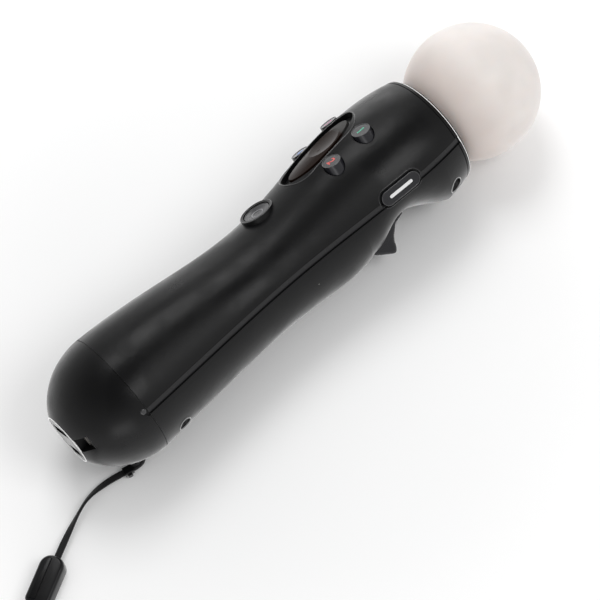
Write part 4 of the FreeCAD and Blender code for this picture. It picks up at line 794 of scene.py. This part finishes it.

# %% [markdown]
# ## Painted light and shade on the casing
#
# The channel along the joint has a polished floor, painted paler than the grained casing as a
# painted highlight. Above it runs a near-black line where the two shells meet: partly their dark
# joint, partly painted shade on the step. The recess round each side button is painted black as
# painted shade. All three lie at fixed places in the wand, so a group works out their masks from
# the wand's own directions. Painting them by hand would need a UV map on CAD meshes that don't
# have one.

# %% Masks for the channel's painted highlight, and for painted shade at the joint and recesses
# The line above the channel is painted near black: the joint between the shells, with painted
# shade on its step.
CHANNEL, JOINT_SHADE, SOFT = (-1.9 * MM, 0.1 * MM), (0.15 * MM, 0.4 * MM), 0.08 * MM
RING_IN, RING_OUT, FAR_ASIDE, HANDLE_ENDS = 0.2 * MM, 0.8 * MM, 14 * MM, -154.4 * MM
joint, j_in, j_out = new_group("joint_light_and_shade_masks", {"Vector": None}, ["ChannelHighlight", "Line", "RecessShade"])
place = add(joint, "ShaderNodeSeparateXYZ", Vector=j_in.outputs["Vector"])
x, y, z = place.outputs


def between(tree, value, low, high, soft):
    """1 between two levels and 0 outside them, with soft ends."""
    return math(tree, "MULTIPLY", fade(tree, value, low - soft, low + soft),
                fade(tree, value, high - soft, high + soft, 1.0, 0.0))


handle = math(joint, "GREATER_THAN", x, HANDLE_ENDS)
for label, (low, high) in (("ChannelHighlight", CHANNEL), ("Line", JOINT_SHADE)):
    stripe = between(joint, z, low, high, SOFT)
    joint.links.new(math(joint, "MULTIPLY", stripe, handle), j_out.inputs[label])
# A ring round each side button, painted black as the shade inside its recess.
beyond = math(joint, "ABSOLUTE", math(joint, "ADD", x, PILL_STATION))
beyond = math(joint, "SUBTRACT", beyond, (PILL_LENGTH - PILL_WIDTH) / 2)
beyond = math(joint, "MAXIMUM", beyond, 0.0)
beside = math(joint, "SUBTRACT", z, PILL_HEIGHT)
reach = math(joint, "SQRT", math(joint, "ADD", math(joint, "MULTIPLY", beyond, beyond),
                                 math(joint, "MULTIPLY", beside, beside)))
ring = between(joint, reach, PILL_WIDTH / 2 - RING_IN, PILL_WIDTH / 2 + RING_OUT, SOFT)
side_only = math(joint, "GREATER_THAN", math(joint, "ABSOLUTE", y), FAR_ASIDE)
joint.links.new(math(joint, "MULTIPLY", ring, side_only), j_out.inputs["RecessShade"])

# %% Put the masks on the casing: a colour for each, and what it adds to the roughness
# Near black for the painted shade at the joint and in the side buttons' recesses.
PAINTED_SHADE_BLACK = (0.001, 0.001, 0.001)
tree, inputs, tone, gloss = opened(casing)
masks = add(tree, "ShaderNodeGroup", {"node_tree": joint}, Vector=wand_vector(tree)).outputs
# The channel's colour is a painted highlight; the joint line's and the recess's colours are
# painted shade.
for label, colour, rough in (("ChannelHighlight", (0.028, 0.028, 0.029), -0.08),
                             ("Line", PAINTED_SHADE_BLACK, 0.3), ("RecessShade", PAINTED_SHADE_BLACK, 0.4)):
    tone = blend_colours(tree, masks[label], tone, colour)
    gloss = math(tree, "ADD", gloss, math(tree, "MULTIPLY", masks[label], rough), clamp=True)
tree.links.new(tone, inputs["Base Color"])
tree.links.new(gloss, inputs["Roughness"])
print("masks:", [socket.name for socket in masks])

# %% [markdown]
# ## The ball
#
# The ball is a hollow shell of milky silicone rubber. Light goes a little way into it and comes
# back warm, so it needs subsurface scattering and not only a pale colour. It is coloured a bit
# darker and warmer towards the collar, and its skin is matte with a faint mottle. A sheen gives
# the powdery edge that silicone has.

# %% Silicone
ball_skin = moulded("ball_skin", (0.76, 0.70, 0.67), 0.62, spread=0.05, pitch=1500.0, depth=0.12,
                    smear=0.12, Subsurface_Scale=0.004, Sheen_Weight=0.25, Sheen_Roughness=0.5)
tree, inputs, plain, _ = opened(ball_skin)
inputs["Subsurface Weight"].default_value = 0.35
inputs["Subsurface Radius"].default_value = (1.0, 0.65, 0.5)
along = add(tree, "ShaderNodeSeparateXYZ", Vector=wand_vector(tree)).outputs[0]
collar = fade(tree, along, -20.5 * MM, 4 * MM, 1.0, 0.0)
warm = blend_colours(tree, math(tree, "MULTIPLY", collar, 0.75), plain, (0.58, 0.49, 0.45))
tree.links.new(warm, inputs["Base Color"])

# %% [markdown]
# ## The big button, lips, marks and inner pieces
#
# The big button is one clear smoked cap. Its dish is glossy and brown, and its ball end is a grey
# satin crescent, a painted highlight on its bevel. A mask along the wand mixes the two. Marks are
# ink, which is flatter than the plastic. Metal and circuit board are seen only in sockets and
# wells. A socket is one CAD piece, so its black tongue is a mask about the socket's middle height.

# %% Smoked button, ink, metal and board
smoked = moulded("move_dish", (0.012, 0.006, 0.004), 0.24, spread=0.03, depth=0.05,
                 Specular_IOR_Level=0.06)
tree, inputs, plain, gloss = opened(smoked)
along = add(tree, "ShaderNodeSeparateXYZ", Vector=wand_vector(tree)).outputs[0]
# The grey crescent is a painted highlight on the bevel at the button's ball end.
bevel_highlight = fade(tree, along, -48.2 * MM, -46.2 * MM)
tone = blend_colours(tree, bevel_highlight, plain, (0.05, 0.048, 0.047))
tree.links.new(tone, inputs["Base Color"])
gloss = math(tree, "ADD", gloss, math(tree, "MULTIPLY", bevel_highlight, 0.25))
tree.links.new(gloss, inputs["Roughness"])

lip_skin = moulded("lip", (0.026, 0.026, 0.027), 0.2, spread=0.03, depth=0.1)
# The well lips are coloured pale grey as a painted highlight on their rounded edges.
well_highlight_skin = moulded("painted_well_highlight", (0.3, 0.3, 0.3), 0.3, depth=0.1)
# The button rims are coloured lighter than the buttons as a painted highlight.
rim_highlight_skin = moulded("painted_rim_highlight", (0.03, 0.03, 0.032), 0.25, spread=0.03, depth=0.1)
# The rim under the ball and the edge of the end face are coloured near white as a painted
# highlight.
white_highlight_skin = moulded("rim", (0.92, 0.92, 0.91), 0.35, depth=0.1)
inks = {name: moulded("ink_" + name, colour, 0.5, smear=0.2, depth=0.15)
        for name, colour in (("green", (0.09, 0.46, 0.30)), ("red", (0.62, 0.07, 0.06)),
                             ("blue", (0.13, 0.25, 0.6)), ("pink", (0.6, 0.2, 0.36)),
                             ("white", (0.72, 0.72, 0.72)), ("grey", (0.2, 0.2, 0.21)))}


def metal(name, colour, rough, **shader):
    """Plated or rolled metal: the moulded recipe, with a coarser grain and darker patches, made
    metallic.
    """
    material = moulded(name, colour, rough, pitch=900.0, depth=0.1, **shader)
    material.node_tree.nodes["Principled BSDF"].inputs["Metallic"].default_value = 1.0
    return material


steel = metal("steel", (0.56, 0.56, 0.57), 0.34)
plated = metal("socket_metal", (0.3, 0.3, 0.31), 0.34)
SOCKET_LEVELS, TONGUE_HALF = (-4.9 * MM, 3.7 * MM), 0.75 * MM
tree, inputs, plain, _ = opened(plated)
height = add(tree, "ShaderNodeSeparateXYZ", Vector=wand_vector(tree)).outputs[2]
tongue = 0.0
for level in SOCKET_LEVELS:
    off_middle = math(tree, "ABSOLUTE", math(tree, "SUBTRACT", height, level))
    tongue = math(tree, "MAXIMUM", math(tree, "LESS_THAN", off_middle, TONGUE_HALF), tongue)
tone = blend_colours(tree, tongue, plain, (0.01, 0.01, 0.01))
tree.links.new(tone, inputs["Base Color"])
tree.links.new(math(tree, "SUBTRACT", 1.0, tongue), inputs["Metallic"])
contact = metal("contact_metal", (0.2, 0.19, 0.18), 0.4)
cell = metal("battery", (0.5, 0.51, 0.53), 0.4)
clear = moulded("clear", (0.8, 0.8, 0.8), 0.25, Transmission_Weight=0.6)
circuit = moulded("circuit", (0.02, 0.16, 0.06), 0.3, pitch=700.0, depth=0.5, Coat_Weight=0.3)

# %% Woven tape and cord
def woven(name, colour, ribs, picks):
    """Black tape or cord: its threads read the piece's own UV map, so they follow every bend."""
    material, tree, body = new_finish(name)
    own = add(tree, "ShaderNodeUVMap", {"uv_map": "along"})
    threads = add(tree, "ShaderNodeGroup", {"node_tree": weave}, Vector=own.outputs[0],
                  Ribs=ribs, Picks=picks)
    tone = blend_colours(tree, threads.outputs["Shade"], tuple(c * 0.45 for c in colour), colour)
    tree.links.new(tone, body.inputs["Base Color"])
    gloss = fade(tree, threads.outputs["Shade"], 0.0, 1.0, 0.85, 0.6)
    tree.links.new(gloss, body.inputs["Roughness"])
    bump = add(tree, "ShaderNodeBump", Height=threads.outputs["Height"], Strength=0.6,
               Distance=0.06 * MM)
    tree.links.new(bump.outputs[0], body.inputs["Normal"])
    body.inputs["Sheen Weight"].default_value = 0.06
    body.inputs["Specular IOR Level"].default_value = 0.25
    return material


tape_weave = woven("strap", (0.010, 0.010, 0.011), 11000.0, 7000.0)
cord_weave = woven("strap_cord", (0.007, 0.007, 0.008), 10000.0, 9000.0)
print("materials:", len(bpy.data.materials))

# %% [markdown]
# ## Dress the CAD pieces
#
# A CAD piece keeps its mesh. It has one material slot, named in the imported record, so a table
# from slot to finish dresses them all. The new pieces come after, and the CAD pieces that they
# replace are hidden.

# %% Give each CAD node its finish
finishes = {"casing": casing, "ball_skin": ball_skin, "seat": seat_skin, "clear": clear,
            "move_dish": smoked, "buttons": button_skin, "home": home_skin,
            "side_buttons": side_skin, "trigger": trigger_skin, "frame": frame_skin,
            "circuit": circuit, "mat": mat_skin, "steel": steel, "socket_metal": plated,
            "contact_metal": contact, "battery": cell, "foam": foam_skin, "strap": tape_weave,
            "strap_lock": lock_skin}
slot_of = {piece["node"]: piece["material_slot"] for piece in frame["record"]["subparts"]}
for name, obj in nodes.items():
    finish = finishes[slot_of[name]]
    if not obj.data.materials:
        obj.data.materials.append(finish)
    for index in range(len(obj.data.materials)):
        obj.data.materials[index] = finish
print("dressed:", len(nodes), "nodes with", len(set(slot_of.values())), "finishes")

# %% Give the new pieces their finish, their body and their slot
ink_of = {"face_button_one": "green", "face_button_two": "red", "face_button_three": "pink",
          "face_button_four": "blue", "start_button": "white", "select_button": "white",
          "home_button": "grey"}
body_of = {name: group for group, members in frame["record"]["behaviour"]["bodies"].items()
           for name in members}


def join_in(obj, material, body):
    """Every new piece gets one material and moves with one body."""
    obj.data.materials.clear()
    obj.data.materials.append(material)
    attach(obj, body)


for node, mark in marks.items():
    join_in(mark, inks[ink_of[node]], body_of[node])
# The button rims carry a painted highlight.
for node, rim in rims.items():
    join_in(rim, rim_highlight_skin, body_of[node])
for lip in (bezel_lip, *seats):
    join_in(lip, lip_skin, "wand")
# The well lips carry a painted highlight.
for lip in well_lips:
    join_in(lip, well_highlight_skin, "wand")
# The end face's edge carries a painted white highlight.
join_in(end_lip, white_highlight_skin, "wand")
for pin in pins:
    join_in(pin, lip_skin, "wand")
# The rim under the ball carries a painted white highlight.
join_in(rim_lip, white_highlight_skin, "wand")
join_in(trigger, trigger_skin, body_of["trigger"])
join_in(lock, lock_skin, "wand")
join_in(strap_cord, cord_weave, "wand")
join_in(strap_tape, tape_weave, "wand")
join_in(wrist_tape, tape_weave, "wand")
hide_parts("strap_slider")
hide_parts("trigger")
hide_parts("strap_loop")
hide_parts("strap_band")
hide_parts("wrist_loop")

# %% [markdown]
# The flat tape and the wrist loop are long enough to count.

# %% [markdown]
# ## Studio
#
# Black plastic is lit by what it mirrors. A soft lamp over the head and a low one beside the tail
# give broad sheens, one in front fills the shadows, and one on the far side draws the outline.
# The lamps together light a level surface so that a colour renders about as it is written. The
# world is bright at its horizon and dim overhead for the camera and for mirror and glass rays,
# and it is an even, weaker light for all other rays. Mirror rays see the floor as bright paper
# too, which gives the plastic the pale edge that it has in a studio.

# %% The floor: a sheet of pale paper, for show only
FLOOR_SIZE, FLOOR_HEIGHT = 5, -0.1 * MM
bpy.ops.mesh.primitive_grid_add(x_subdivisions=4, y_subdivisions=4, size=FLOOR_SIZE,
                                location=(0, 0, FLOOR_HEIGHT))
floor = settle(bpy.context.active_object, "floor")
paper, tree, shade = new_finish("floor_paper")
spot = add(tree, "ShaderNodeTexCoord").outputs["Object"]
mottle = add(tree, "ShaderNodeTexNoise", Vector=spot, Scale=8.0).outputs[0]
tone = blend_colours(tree, mottle, (0.93, 0.93, 0.93), (0.96, 0.96, 0.96))
tree.links.new(tone, shade.inputs["Base Color"])
shade.inputs["Roughness"].default_value = 0.9
shade.inputs["Specular IOR Level"].default_value = 0.1
away = add(tree, "ShaderNodeVectorMath", {"operation": "LENGTH"}, i0=spot).outputs["Value"]


def rays_that_see(tree):
    """1 for the rays that show a background: the camera's, mirrors' and glass's."""
    rays = add(tree, "ShaderNodeLightPath").outputs
    seen = math(tree, "MAXIMUM", rays["Is Camera Ray"], rays["Is Transmission Ray"])
    return math(tree, "MAXIMUM", seen, rays["Is Glossy Ray"])


# From GLOW_FROM to GLOW_FULL away from its middle, the floor turns to plain white.
BRIGHT_PAPER, MIRRORED_FLOOR, GLOW_FROM, GLOW_FULL = 1.5, 0.85, 80 * MM, 380 * MM
glow = add(tree, "ShaderNodeEmission", Color=(1, 1, 1, 1), Strength=BRIGHT_PAPER)
far_off = math(tree, "MULTIPLY", fade(tree, away, GLOW_FROM, GLOW_FULL), rays_that_see(tree))
mirror_rays = add(tree, "ShaderNodeLightPath").outputs["Is Glossy Ray"]
mirrored = math(tree, "MULTIPLY", mirror_rays, MIRRORED_FLOOR)
glowing = math(tree, "MAXIMUM", far_off, mirrored)
blend = add(tree, "ShaderNodeMixShader", i0=glowing, i1=shade.outputs[0], i2=glow.outputs[0])
tree.links.new(blend.outputs[0], tree.nodes["Material Output"].inputs["Surface"])
floor.data.materials.append(paper)
floor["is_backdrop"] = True
print("paper nodes:", len(tree.nodes))

# %% The world: walls that darken upwards for the rays that see them, and an even light
world = bpy.data.worlds.new("studio")
bpy.context.scene.world = world
world.use_nodes = True
tree = world.node_tree
sky = tree.nodes["Background"]
outlook = add(tree, "ShaderNodeTexCoord").outputs["Generated"]
height = add(tree, "ShaderNodeSeparateXYZ", Vector=outlook).outputs[2]
walls = fade(tree, height, 0.35, 0.85, 1.0, 0.25)
tree.links.new(fade(tree, rays_that_see(tree), 0.0, 1.0, 0.55, walls), sky.inputs["Strength"])
sky.inputs["Color"].default_value = (1, 1, 1, 1)

# %% Lamps: where each stands in metres, its watts and its width
AIM_AT = Vector((0, 0, 0.02))
LAMPS = {"over_head": ((0.18, 0.28, 0.62), 1.65, 0.32),
         "under_tail": ((-0.42, -0.62, 0.05), 0.9, 0.35),
         "front_fill": ((0.19, -0.42, 0.55), 1.4, 0.32),
         "far_side": ((0.34, 0.5, 0.1), 0.9, 0.35)}
for name, (place, power, width) in LAMPS.items():
    lamp = bpy.data.lights.new(name, "AREA")
    lamp.energy, lamp.size = power, width
    holder = bpy.data.objects.new(name, lamp)
    bpy.context.scene.collection.objects.link(holder)
    aim = (AIM_AT - Vector(place)).to_track_quat("-Z", "Y")
    holder.matrix_world = Matrix.Translation(place) @ aim.to_matrix().to_4x4()
bpy.context.scene.view_settings.view_transform = "Standard"
print("lamps:", list(LAMPS))

# %% Print the size of the visual box
low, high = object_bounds()
print("visual box in mm:", [round(v / MM, 1) for v in high - low])
